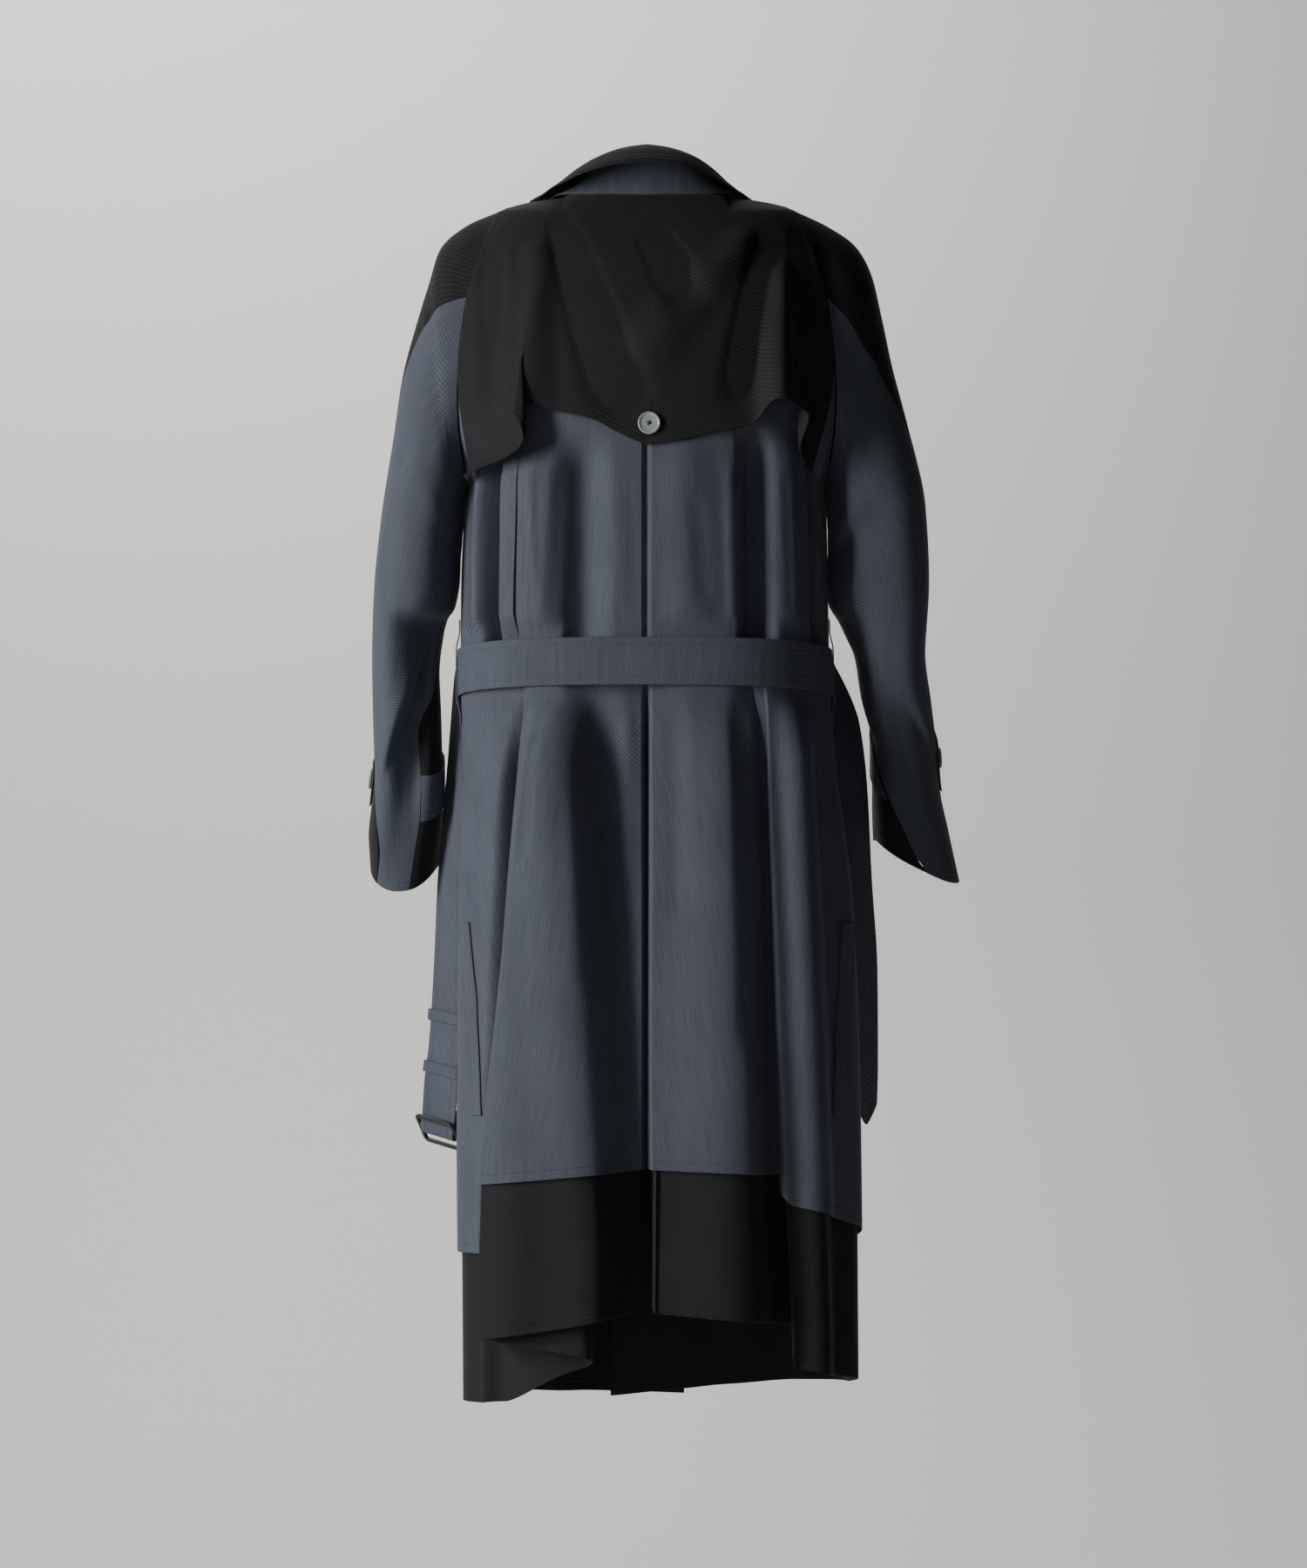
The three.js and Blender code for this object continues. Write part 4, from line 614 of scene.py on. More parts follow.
def body_point(side, facing, level, cloth, inset=0.0):
    """A point of the body's cloth; an inset is measured square to the cloth, for a layer inside it."""
    place = back_place if facing > 0 else front_place

    def outer(at):
        distance, lift = place(side, level, at)
        return off_body(side, facing, level, distance, lift)

    spot = outer(cloth)
    if np.all(np.asarray(inset) == 0):
        return spot
    step = 0.004
    along = outer(np.minimum(1, cloth + step)) - outer(np.maximum(0, cloth - step))
    outward = unit(points(-along[..., 1], along[..., 0], 0)) * side
    return spot - outward * np.asarray(inset)[..., None]

print("marks along a back panel:", PLEAT_MARKS)

# %% [markdown]
# ## From a grid to a piece of cloth
#
# `cloth_piece` turns a grid of points into a closed wall. It measures the grid as it goes: the running
# length across and down becomes the UV map, in metres of real cloth, so a weave drawn in millimetres has
# the same size on every piece and turns with it. The distance to the nearest finished edge goes into an
# attribute called `edge`, which the materials use for the turned and stitched border. A Solidify modifier
# leaves square rims, and a folded edge is round.

# %% A wall round a grid
RIM_BULGE = 0.35

def grid_outward(grid, turned, closed):
    """The way each point of a grid faces, out of the piece."""
    if closed:
        across = np.roll(grid, -1, axis=1) - np.roll(grid, 1, axis=1)
    else:
        across = np.gradient(grid, axis=1)
    down = np.gradient(grid, axis=0)
    facing = unit(np.cross(across, down))
    return -facing if turned else facing

def running(grid, axis):
    """Running length along one direction, from the piece's middle line."""
    steps = np.linalg.norm(np.diff(grid, axis=axis), axis=2)
    total = np.cumsum(steps, axis=axis)
    start = np.zeros_like(np.take(total, [0], axis=axis))
    return np.concatenate([start, total], axis=axis)

def wall_faces(rows, columns, closed):
    """Corner numbers of the four-sided faces that close a wall with a rounded rim."""
    layer = rows * columns
    spot = np.arange(layer).reshape(rows, columns)
    right = np.roll(spot, -1, axis=1) if closed else spot
    if closed:
        a, b, c, d = spot[:-1], right[:-1], right[1:], spot[1:]
    else:
        a, b, c, d = spot[:-1, :-1], spot[:-1, 1:], spot[1:, 1:], spot[1:, :-1]
    outer = np.stack([a, b, c, d], axis=-1).reshape(-1, 4)
    inner = outer[:, ::-1] + layer
    if closed:
        loops = [np.append(spot[0], spot[0, 0])[::-1], np.append(spot[-1], spot[-1, 0])]
    else:
        loops = [np.concatenate([spot[:, 0], spot[-1, 1:], spot[-2::-1, -1], spot[0, -2::-1]])]
    rims = []
    middle = 2 * layer
    ring_of = {}
    for loop in loops:
        for corner in loop:
            ring_of.setdefault(int(corner), middle + len(ring_of))
        ring = np.array([ring_of[int(corner)] for corner in loop])
        rims.append(np.stack([loop[:-1], loop[1:], ring[1:], ring[:-1]], axis=-1))
        rims.append(np.stack([ring[:-1], ring[1:], loop[1:] + layer, loop[:-1] + layer], axis=-1))
    return np.concatenate([outer, inner, *rims]), np.array(list(ring_of), int)

def rim_points(grid, inner, corners, closed):
    """The middle of the wall's rim, pushed out a little so that a folded edge looks round."""
    flat, deep = grid.reshape(-1, 3), inner.reshape(-1, 3)
    columns = grid.shape[1]
    r, c = corners // columns, corners % columns
    rows = grid.shape[0]
    inward_r = np.where(r == 0, 1, np.where(r == rows - 1, rows - 2, r))
    inward_c = c if closed else np.where(c == 0, 1, np.where(c == columns - 1, columns - 2, c))
    outward = unit(grid[r, c] - grid[inward_r, inward_c])
    wall = np.linalg.norm(flat[corners] - deep[corners], axis=1, keepdims=True)
    return (flat[corners] + deep[corners]) / 2 + outward * wall * RIM_BULGE

print("a rim bulges by", RIM_BULGE, "of its wall")

# %% [markdown]
# The builder itself keeps a note of each piece: `made` holds the grid, which stitches and buttons are placed
# on later.

# %% The piece builder
FAR_FROM_EDGES = 500.0
SHARP_EDGE = math.radians(50)
made = {}

def cloth_piece(name, grid, wall, turned=False, closed=False, edges=()):
    """A closed wall of cloth behind a grid of points (rows down, columns across), in millimetres.

    edges names the finished sides of the grid: top, bottom, left, right.
    """
    rows, columns = grid.shape[:2]
    outward = grid_outward(grid, turned, closed)
    thick = np.broadcast_to(np.asarray(wall, float), (rows, columns))
    inner = grid - outward * thick[..., None]
    faces, corners = wall_faces(rows, columns, closed)
    rim = rim_points(grid, inner, corners, closed)
    every = np.concatenate([grid.reshape(-1, 3), inner.reshape(-1, 3), rim]) * MM
    if turned:
        faces = faces[:, ::-1]
    across = running(grid, 1)
    down = running(grid, 0)
    across = across - across[:, [columns // 2]]
    reach = {
        "top": down,
        "bottom": down[[-1]] - down,
        "left": across - across[:, [0]],
        "right": across[:, [-1]] - across,
    }
    near = np.full((rows, columns), FAR_FROM_EDGES)
    for side in edges:
        near = np.minimum(near, reach[side])
    flat_u, flat_v, flat_edge = (field.reshape(-1) for field in (across, down, near))
    u = np.concatenate([flat_u, flat_u, flat_u[corners]]) * MM
    v = np.concatenate([flat_v, flat_v, flat_v[corners]]) * MM
    edge = np.concatenate([flat_edge, flat_edge, flat_edge[corners]])
    mesh = bpy.data.meshes.new(name)
    mesh.from_pydata(every.tolist(), [], faces.tolist())
    corner_of = np.empty(len(mesh.loops), np.int32)
    mesh.loops.foreach_get("vertex_index", corner_of)
    layer = mesh.uv_layers.new(name="cloth")
    flat_map = np.stack([u[corner_of], -v[corner_of]], axis=-1)
    layer.data.foreach_set("uv", flat_map.astype(np.float32).ravel())
    attribute = mesh.attributes.new("edge", "FLOAT", "POINT")
    attribute.data.foreach_set("value", edge.astype(np.float32))
    mesh.polygons.foreach_set("use_smooth", np.ones(len(mesh.polygons), bool))
    mesh.set_sharp_from_angle(angle=SHARP_EDGE)
    piece = bpy.data.objects.new(name, mesh)
    bpy.context.scene.collection.objects.link(piece)
    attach(piece, "coat")
    made[name] = dict(piece=piece, grid=grid, outward=outward)
    return piece

print("pieces so far:", len(made))

# %% [markdown]
# ## Materials
#
# Every material is a small tree of nodes. One helper adds a node with its settings and links, another
# does sums, and one function turns a colour from sRGB hex to the linear values that light is reckoned in.

# %% Node helpers
def srgb(code):
    """A colour written as sRGB hex, as the linear values that shaders use."""
    values = [int(code[i:i + 2], 16) / 255 for i in (1, 3, 5)]
    linear = [v / 12.92 if v <= 0.04045 else ((v + 0.055) / 1.055) ** 2.4 for v in values]
    return (*linear, 1.0)

def add_node(tree, kind, settings=None, inputs=None):
    """Adds one node. settings are its own options; inputs are values, or sockets to link from."""
    node = tree.nodes.new(kind)
    for name, value in (settings or {}).items():
        setattr(node, name, value)
    for name, value in (inputs or {}).items():
        socket = node.inputs[name]
        if isinstance(value, bpy.types.NodeSocket):
            tree.links.new(value, socket)
        else:
            socket.default_value = value
    return node

def calculate(tree, operation, first, second=0.0, third=0.0):
    values = {0: first, 1: second, 2: third}
    return add_node(tree, "ShaderNodeMath", {"operation": operation}, values).outputs[0]

def new_material(name):
    material = bpy.data.materials.new(name)
    material.use_nodes = True
    tree = material.node_tree
    tree.nodes.clear()
    return material, tree

def finish_material(tree, shader):
    add_node(tree, "ShaderNodeOutputMaterial", None, {"Surface": shader.outputs[0]})

print("middle grey #808080 is", round(srgb("#808080")[0], 3), "of full light")

# %% [markdown]
# Both cloths are twills: the weave shows as fine diagonal lines rising to the right. A wave across the
# diagonal gives them at any size, which an image would not. Uneven yarns are noise stretched along the
# cloth, and a turned border is a step and a groove that follow the `edge` attribute. All of it is drawn
# in millimetres on the cloth's own map.

# %% Weave, yarns and borders
BORDER = dict(step_at=12.0, step_half=0.8, step_high=0.35, groove_at=8.0, groove_spread=1.6, groove_deep=0.5)

def place_in_mm(tree):
    """The cloth's own map, turned into millimetres."""
    flat = add_node(tree, "ShaderNodeUVMap", {"uv_map": "cloth"}).outputs["UV"]
    inputs = {0: flat, "Scale": 1000.0}
    return add_node(tree, "ShaderNodeVectorMath", {"operation": "SCALE"}, inputs).outputs[0]

def diagonal_lines(tree, place, pitch, rise):
    """A wave from 0 to 1 across the twill's diagonal: pitch in mm, rise in degrees."""
    angle = math.radians(rise)
    across = (-math.sin(angle) * math.tau / pitch, math.cos(angle) * math.tau / pitch, 0)
    run = add_node(tree, "ShaderNodeVectorMath", {"operation": "DOT_PRODUCT"}, {0: place, 1: across})
    wave = calculate(tree, "SINE", run.outputs["Value"])
    return calculate(tree, "MULTIPLY_ADD", wave, 0.5, 0.5)

def yarn_noise(tree, place, across, along, detail=2.0):
    """Noise whose patches are across by along millimetres."""
    shares = {0: place, 1: (1 / across, 1 / along, 1)}
    scaled = add_node(tree, "ShaderNodeVectorMath", {"operation": "MULTIPLY"}, shares).outputs[0]
    inputs = {"Vector": scaled, "Scale": 1.0, "Detail": detail}
    return add_node(tree, "ShaderNodeTexNoise", None, inputs).outputs["Fac"]

def border_relief(tree):
    """Height in mm of a turned border: a small step where it ends and a groove under the stitches."""
    edge = add_node(tree, "ShaderNodeAttribute", {"attribute_name": "edge"}).outputs["Fac"]
    away = calculate(tree, "SUBTRACT", edge, BORDER["groove_at"])
    near = calculate(tree, "DIVIDE", calculate(tree, "MULTIPLY", away, away), BORDER["groove_spread"])
    groove = calculate(tree, "POWER", math.e, calculate(tree, "MULTIPLY", near, -1.0))
    smooth = {"interpolation_type": "SMOOTHSTEP"}
    start = BORDER["step_at"] - BORDER["step_half"]
    end = BORDER["step_at"] + BORDER["step_half"]
    values = {"Value": edge, "From Min": start, "From Max": end, "To Min": BORDER["step_high"], "To Max": 0.0}
    step = add_node(tree, "ShaderNodeMapRange", smooth, values).outputs[0]
    return calculate(tree, "MULTIPLY_ADD", groove, -BORDER["groove_deep"], step)

def mixed_colour(tree, factor, low, high):
    mix = add_node(tree, "ShaderNodeMix", {"data_type": "RGBA"})
    tree.links.new(factor, mix.inputs[0])
    colour_inputs = [socket for socket in mix.inputs if socket.type == "RGBA"]
    colour_inputs[0].default_value = low
    colour_inputs[1].default_value = high
    return [socket for socket in mix.outputs if socket.type == "RGBA"][0]

print("a turned border ends", BORDER["step_at"], "mm from the edge and is sewn at", BORDER["groove_at"], "mm")

# %% [markdown]
# The slate is a smooth worsted wool with lighter and darker yarns in it, which read as faint upright
# streaks. The black is a heavier twill; its lines are wider apart and it takes very little light. Both
# are matt, with a faint sheen at a grazing angle. True twill lines would be too fine to show, so both are
# drawn coarser.

# %% The two cloths
YARN_MM = (0.9, 1.6)
STREAK_MM = (1.7, 60.0)
CLOUD_MM = (60.0, 90.0)
TONE = dict(lines=0.34, yarns=0.9, clouds=0.25)

def cloth_material(name, low, high, pitch, rise, relief, streaks, sheen):
    """A twill: low and high are its darkest and lightest yarns, relief how high its lines stand in mm."""
    material, tree = new_material(name)
    place = place_in_mm(tree)
    lines = diagonal_lines(tree, place, pitch, rise)
    yarns = yarn_noise(tree, place, *YARN_MM)
    upright = yarn_noise(tree, place, *STREAK_MM)
    clouds = yarn_noise(tree, place, *CLOUD_MM)
    factor = calculate(tree, "MULTIPLY_ADD", lines, TONE["lines"], -TONE["lines"] / 2)
    factor = calculate(tree, "MULTIPLY_ADD", yarns, TONE["yarns"], factor)
    factor = calculate(tree, "MULTIPLY_ADD", calculate(tree, "SUBTRACT", upright, 0.5), streaks, factor)
    factor = calculate(tree, "MULTIPLY_ADD", calculate(tree, "SUBTRACT", clouds, 0.5), TONE["clouds"], factor)
    colour = mixed_colour(tree, factor, srgb(low), srgb(high))
    weave = calculate(tree, "MULTIPLY", lines, relief)
    weave = calculate(tree, "MULTIPLY_ADD", yarns, relief, weave)
    height = calculate(tree, "ADD", weave, border_relief(tree))
    bump_node = add_node(tree, "ShaderNodeBump", None, {"Strength": 1.0, "Distance": MM, "Height": height})
    shader = add_node(
        tree,
        "ShaderNodeBsdfPrincipled",
        None,
        {
            "Base Color": colour,
            "Roughness": 0.82,
            "Specular IOR Level": 0.22,
            "Sheen Weight": sheen,
            "Sheen Roughness": 0.35,
            "Normal": bump_node.outputs[0],
        },
    )
    finish_material(tree, shader)
    return material

SLATE = cloth_material(
    "slate wool twill", "#3a3e47", "#6f7583", pitch=2.6, rise=27, relief=0.10, streaks=0.5, sheen=0.12
)
TWILL = cloth_material(
    "black heavy twill", "#131314", "#39393c", pitch=3.0, rise=42, relief=0.16, streaks=0.15, sheen=0.08
)
print("cloths:", SLATE.name, "and", TWILL.name)

# %% [markdown]
# Thread is matt. The buttons are polished horn, a soft gloss over a faint grain, and the buckle is cast
# metal with a dark plating, whose highlights are dull and broad. One flat colour would look like plastic;
# a fine grain keeps them from it.

# %% Thread, horn and metal
def plain_material(name, colour, roughness, metallic=0.0, coat=0.0, grain=None):
    """A solid finish, with a fine grain in its surface where one is given in mm."""
    material, tree = new_material(name)
    inputs = {"Base Color": srgb(colour), "Roughness": roughness, "Metallic": metallic, "Coat Weight": coat}
    if grain:
        place = add_node(tree, "ShaderNodeTexCoord").outputs["Object"]
        fine = {"Vector": place, "Scale": 1000 / grain, "Detail": 3.0}
        noise = add_node(tree, "ShaderNodeTexNoise", None, fine)
        relief = {"Strength": 0.35, "Distance": 0.05 * MM, "Height": noise.outputs["Fac"]}
        inputs["Normal"] = add_node(tree, "ShaderNodeBump", None, relief).outputs[0]
    shader = add_node(tree, "ShaderNodeBsdfPrincipled", None, inputs)
    finish_material(tree, shader)
    return material

SLATE_THREAD = plain_material("slate thread", "#5c616d", 0.7)
BLACK_THREAD = plain_material("black thread", "#2c2c2e", 0.7)
HORN = plain_material("pale horn button", "#a3aeac", 0.3, coat=0.3, grain=2.5)
METAL = plain_material("dark metal buckle", "#4d4d4f", 0.38, metallic=0.9, grain=0.6)

def paint(piece, material):
    """Gives a piece its one material."""
    piece.data.materials.clear()
    piece.data.materials.append(material)
    return piece

print("small finishes:", [each.name for each in (SLATE_THREAD, BLACK_THREAD, HORN, METAL)])

# %% [markdown]
# ## The body
#
# Each back panel is one piece from the neck to its hem. The rows are close together where folds turn and
# wider where the storm flap hides them. The hem isn't level: its height is read along the cloth, and the
# last rows run down to it.

# %% Slate panels
SLATE_WALL = 1.4
HEMS = {
    "slate back left": [(0, -1004), (0.45, -1022), (0.55, -1026), (0.7, -1062), (0.85, -1093), (1, -1096)],
    "slate back right": [(0, -1004), (0.5, -1014), (0.62, -1022), (0.7, -1042), (0.85, -1062), (1, -1086)],
    "slate front left": [(0, -1096), (0.5, -1104), (1, -1112)],
    "slate front right": [(0, -1086), (0.5, -1096), (1, -1104)],
    "twill back left": [(0, -1148), (0.45, -1180), (0.55, -1184), (0.7, -1208), (0.85, -1246), (1, -1253)],
    "twill back right": [(0, -1148), (0.5, -1170), (0.62, -1186), (0.7, -1208), (0.85, -1222), (1, -1236)],
    "twill front left": [(0, -1253), (0.5, -1262), (1, -1268)],
    "twill front right": [(0, -1236), (0.5, -1252), (1, -1270)],
}
SIDE_NAMES = {1: "left", -1: "right"}
FACING_NAMES = {1: "back", -1: "front"}

def spread(*stretches):
    """One rising list of places from stretches of (start, end, number of steps)."""
    lists = [np.linspace(start, end, steps + 1)[:-1] for start, end, steps in stretches]
    return np.append(np.concatenate(lists), stretches[-1][1])

BACK_COLUMNS = spread(
    (0, 0.03, 7), (0.03, 0.45, 54), (0.45, 0.52, 10), (0.52, 0.62, 9), (0.62, 0.69, 10), (0.69, 1, 46)
)
FRONT_COLUMNS = spread((0, 1, 56))
YOKE_ROWS = spread((0.0095, 0.16, 10), (0.16, 0.72, 14), (0.72, 1, 20))
SKIRT_HEIGHTS = spread((-295, -560, 60), (-560, -880, 62))
HEM_PARTS = spread((0.02, 1, 34))

def read_hem(name, cloth):
    rows = np.array(HEMS[name], float)
    return read({"at": rows[:, 0], "z": rows[:, 1]}, "at", "z", cloth)

def slate_panel(side, facing):
    columns = BACK_COLUMNS if facing > 0 else FRONT_COLUMNS
    hem = read_hem(f"slate {FACING_NAMES[facing]} {SIDE_NAMES[side]}", columns)
    levels = np.concatenate([YOKE_ROWS, level_of(SKIRT_HEIGHTS)])
    upper = body_point(side, facing, levels[:, None], columns[None, :])
    heights = lerp(SKIRT_HEIGHTS[-1], hem[None, :], HEM_PARTS[:, None])
    lower = body_point(side, facing, level_of(heights), columns[None, :])
    grid = np.concatenate([upper, lower])
    name = f"{FACING_NAMES[facing]}_{SIDE_NAMES[side]}_slate"
    edges = ("bottom",) if facing > 0 else ("bottom", "right")
    piece = cloth_piece(name, grid, SLATE_WALL, turned=side < 0, edges=edges)
    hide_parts(f"{FACING_NAMES[facing]}_{SIDE_NAMES[side]}")
    return paint(piece, SLATE)

for side in (1, -1):
    for facing in (1, -1):
        slate_panel(side, facing)
print("slate panels:", [len(one["piece"].data.polygons) for one in made.values()])

# %% [markdown]
# The black under layer is caught inside the slate below hip height and hangs a few millimetres inside it,
# following the same pleats. Only its lower 140 mm show from outside.

# %% Black under layer
TWILL_WALL = 1.6
TWILL_TOP_Z = -880
TWILL_INSET = 5
TWILL_CAUGHT = 0.8

def twill_panel(side, facing):
    columns = BACK_COLUMNS if facing > 0 else FRONT_COLUMNS
    hem = read_hem(f"twill {FACING_NAMES[facing]} {SIDE_NAMES[side]}", columns)
    parts = spread((0, 0.3, 16), (0.3, 1, 44))[:, None]
    heights = lerp(TWILL_TOP_Z, hem[None, :], parts)
    inset = lerp(SLATE_WALL + TWILL_CAUGHT, TWILL_INSET, ease(parts * 5)) * np.ones_like(heights)
    grid = body_point(side, facing, level_of(heights), columns[None, :], inset)
    name = f"{FACING_NAMES[facing]}_{SIDE_NAMES[side]}_under"
    edges = ("bottom",) if facing > 0 else ("bottom", "right")
    piece = cloth_piece(name, grid, TWILL_WALL, turned=side < 0, edges=edges)
    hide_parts(f"under_{FACING_NAMES[facing]}_{SIDE_NAMES[side]}")
    return paint(piece, TWILL)

for side in (1, -1):
    for facing in (1, -1):
        twill_panel(side, facing)
print("under layer: from z", TWILL_TOP_Z, "down to", min(at_z for _, at_z in HEMS["twill back left"]))

# %% [markdown]
# ## Sleeves
#
# Each sleeve is two panels. The black one covers the shoulder and runs down the front of the arm, the
# slate one starts under the armhole and takes over the back. The seam between them wanders round the arm,
# which the two angle columns of the sleeve table say.

# %% Sleeve panels
SLEEVE_ROWS = spread((0.07, 1.2, 16), (1.2, 8, 60), (8, 14, 66))
SEAM_ANGLE = 0.22

def sleeve_panel(side, is_slate):
    step = SLEEVE_ROWS[:, None]
    start = read(SLEEVES[side], "step", "slate_from", step)
    end = read(SLEEVES[side], "step", "slate_to", step)
    low, high = (start, end) if is_slate else (end, start + 360)
    part = spread((0, 1, 52 if is_slate else 76))[None, :]
    degrees = lerp(low + SEAM_ANGLE, high - SEAM_ANGLE, part)
    grid = sleeve_point(side, step * np.ones_like(degrees), degrees)
    kind = "back" if is_slate else "top"
    wall = SLATE_WALL if is_slate else TWILL_WALL
    node = f"sleeve_{SIDE_NAMES[side]}_{kind}"
    piece = cloth_piece(f"{node}_cloth", grid, wall, turned=side > 0, edges=("bottom",))
    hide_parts(node)
    return paint(piece, SLATE if is_slate else TWILL)

for side in (1, -1):
    sleeve_panel(side, True)
    sleeve_panel(side, False)

# %% [markdown]
# A cuff strap is caught in the sleeve's inner seam, goes round the front of the wrist and is buttoned on
# the outside. It is laid on the sleeve's own form, a little way out, so it bends wherever the sleeve
# does.

# %% Cuff straps
STRAP = dict(step_from=10.9, step_to=12.2, after_seam=3, ends_at=362, button_at=351, out=2.6)

def cuff_strap(side):
    step = lerp(STRAP["step_from"], STRAP["step_to"], spread((0, 1, 12)))[:, None]
    start = read(SLEEVES[side], "step", "slate_to", step) + STRAP["after_seam"]
    degrees = lerp(start, STRAP["ends_at"], spread((0, 1, 110))[None, :])
    grid, _ = on_sleeve(side, step * np.ones_like(degrees), degrees, STRAP["out"])
    name = f"cuff_strap_{SIDE_NAMES[side]}_cloth"
    piece = cloth_piece(name, grid, SLATE_WALL, turned=side > 0, edges=("top", "bottom", "right"))
    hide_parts(f"cuff_strap_{SIDE_NAMES[side]}")
    return paint(piece, SLATE)

for side in (1, -1):
    cuff_strap(side)

# %% [markdown]
# ## Storm flap
#
# The flap is one wide piece of the black twill. It is caught in the neck seam and both armhole seams, and
# hangs free below them. Its hem is told by a table: how far from the middle, how low, and how far it
# stands off the back. Where it stands off most the edge curls outward.

# %% The flap's hem
LEFT_FLAP_HEM = table("distance z stand", [
    (0, -270, 5),
    (13, -265, 5.5),
    (32, -256, 6),
    (54, -244, 7),
    (85, -236, 8),
    (103, -231, 10),
    (114, -228, 13),
    (122, -227, 18),
    (127, -229, 23),
    (129, -234, 27),
    (126, -242, 30),
    (120, -251, 32),
    (117, -260, 33),
    (116, -266, 33),
    (119, -273, 32),
    (126, -278, 30),
    (142, -284, 28),
    (167, -288, 24),
    (190, -294, 20),
])
RIGHT_FLAP_HEM = table("distance z stand", [
    (0, -270, 5),
    (35, -265, 5.5),
    (61, -258, 6),
    (90, -252, 8),
    (108, -246, 11),
    (115, -238, 16),
    (120, -228, 23),
    (123, -225, 28),
    (128, -224, 32),
    (140, -226, 35),
    (151, -230, 35),
    (160, -235, 32),
    (161, -244, 27),
    (159, -255, 20),
    (158, -265, 15),
    (161, -273, 11),
    (170, -282, 8),
    (182, -289, 6),
])
print("the flap's hem stands off by up to", LEFT_FLAP_HEM["stand"].max(), "mm")

# %% [markdown]
# Heavy twill falls in a few broad folds, which fan out from the neck and the armholes. Each runs between
# two spots, given across (towards the left) and up, and widens on its way.

# %% Folds of the flap
FLAP_FOLDS = table("from_x from_z to_x to_z reach to_reach rise", [
    (90, -30, 30, -215, 20, 46, -10.0),
    (112, -50, 113, -215, 22, 26, 5.0),
    (160, -60, 156, -270, 22, 22, -4.0),
    (-4, -44, -44, -122, 22, 36, -8.0),
    (-108, -44, -2, -168, 24, 46, 6.0),
    (-126, -40, -101, -215, 22, 38, -9.0),
    (-137, -76, -134, -218, 18, 22, 6.0),
    (-158, -40, -160, -225, 18, 20, -7.0),
])

def crossing_folds(folds, x, z):
    """Lift of folds that run between two spots, fading out past both ends."""
    lift = np.zeros(np.shape(x))
    for i in range(len(folds["rise"])):
        fold = {name: values[i] for name, values in folds.items()}
        run = np.array([fold["to_x"] - fold["from_x"], fold["to_z"] - fold["from_z"]])
        length = np.linalg.norm(run)
        way = run / length
        along = ((x - fold["from_x"]) * way[0] + (z - fold["from_z"]) * way[1]) / length
        away = (x - fold["from_x"]) * -way[1] + (z - fold["from_z"]) * way[0]
        strength = ease(along * 5 + 0.3) * ease((1.25 - along) * 2.5)
        reach = lerp(fold["reach"], fold["to_reach"], np.clip(along, 0, 1))
        lift = lift + fold["rise"] * strength * bump(away / reach)
    return lift

print("folds of the flap:", len(FLAP_FOLDS["rise"]))

# %% [markdown]
# The flap is followed from its top seam down to its hem. In its upper part it lies on the back, a wall
# away; below that it leaves the back and goes over to the place and the distance that its hem has.

# %% The flap
FLAP = dict(rest=2.9, top_level=0.014, neck_room=1.4, armhole_room=2.5, hangs_from=0.45, closest=1.9)

def level_at(side, z, across):
    """The level at which the back passes a height, at a distance from its middle."""
    low = np.zeros(np.broadcast(z, across).shape)
    high = low + 1.4
    for _ in range(24):
        middle = (low + high) / 2
        reach = np.minimum(across, row_length(side, 1, middle))
        above = off_body(side, 1, middle, reach)[..., 2] > z
        low = np.where(above, middle, low)
        high = np.where(above, high, middle)
    return (low + high) / 2

def flap_half(side, along, down):
    """One half of the flap: along runs from the middle to the edge, down from the seam to the hem."""
    hem = dict(LEFT_FLAP_HEM if side > 0 else RIGHT_FLAP_HEM)
    steps = [np.diff(hem[name]) for name in ("distance", "z", "stand")]
    run = np.concatenate([[0], np.cumsum(np.sqrt(sum(step**2 for step in steps)))])
    hem["share"] = run / run[-1]
    share = np.abs(along)
    hem_distance = read(hem, "share", "distance", share)
    hem_level = level_at(side, read(hem, "share", "z", share), hem_distance)
    level = lerp(FLAP["top_level"], hem_level, down)
    part = np.clip(level / hem_level, 0, 1)
    length = row_length(side, 1, level)
    straight = np.abs(along) * (length - FLAP["neck_room"])
    hung = np.minimum(hem_distance, length - FLAP["armhole_room"])
    distance = lerp(straight, hung, ease((part - FLAP["hangs_from"]) / (1 - FLAP["hangs_from"])))
    rest = lerp(FLAP["rest"], read(hem, "share", "stand", share), part**4)
    flat = off_body(side, 1, level, distance, rest)
    fading = ease(part * 3) * ease((1.02 - np.abs(along)) * 7)
    lift = crossing_folds(FLAP_FOLDS, flat[..., 0], flat[..., 2]) * fading
    return off_body(side, 1, level, distance, np.maximum(rest + lift, FLAP["closest"]))

def storm_flap():
    along = spread((-1, 1, 170))[None, :]
    down = spread((0, 1, 84))[:, None]
    along, down = np.broadcast_arrays(along, down)
    grid = np.where((along < 0)[..., None], flap_half(-1, along, down), flap_half(1, along, down))
    piece = cloth_piece("storm_flap_cloth", grid, TWILL_WALL, edges=("bottom",))
    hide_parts("storm_flap")
    return paint(piece, TWILL)

storm_flap()

# %% [markdown]
# ## Collar
#
# The stand is a slate band that rises from the neck seam, highest at the nape. The fall is black: it goes
# up inside the stand, turns over its top edge and spreads outward, so that the slate shows below it. Both
# follow the neck line, with how far out and how far up told round it in degrees.

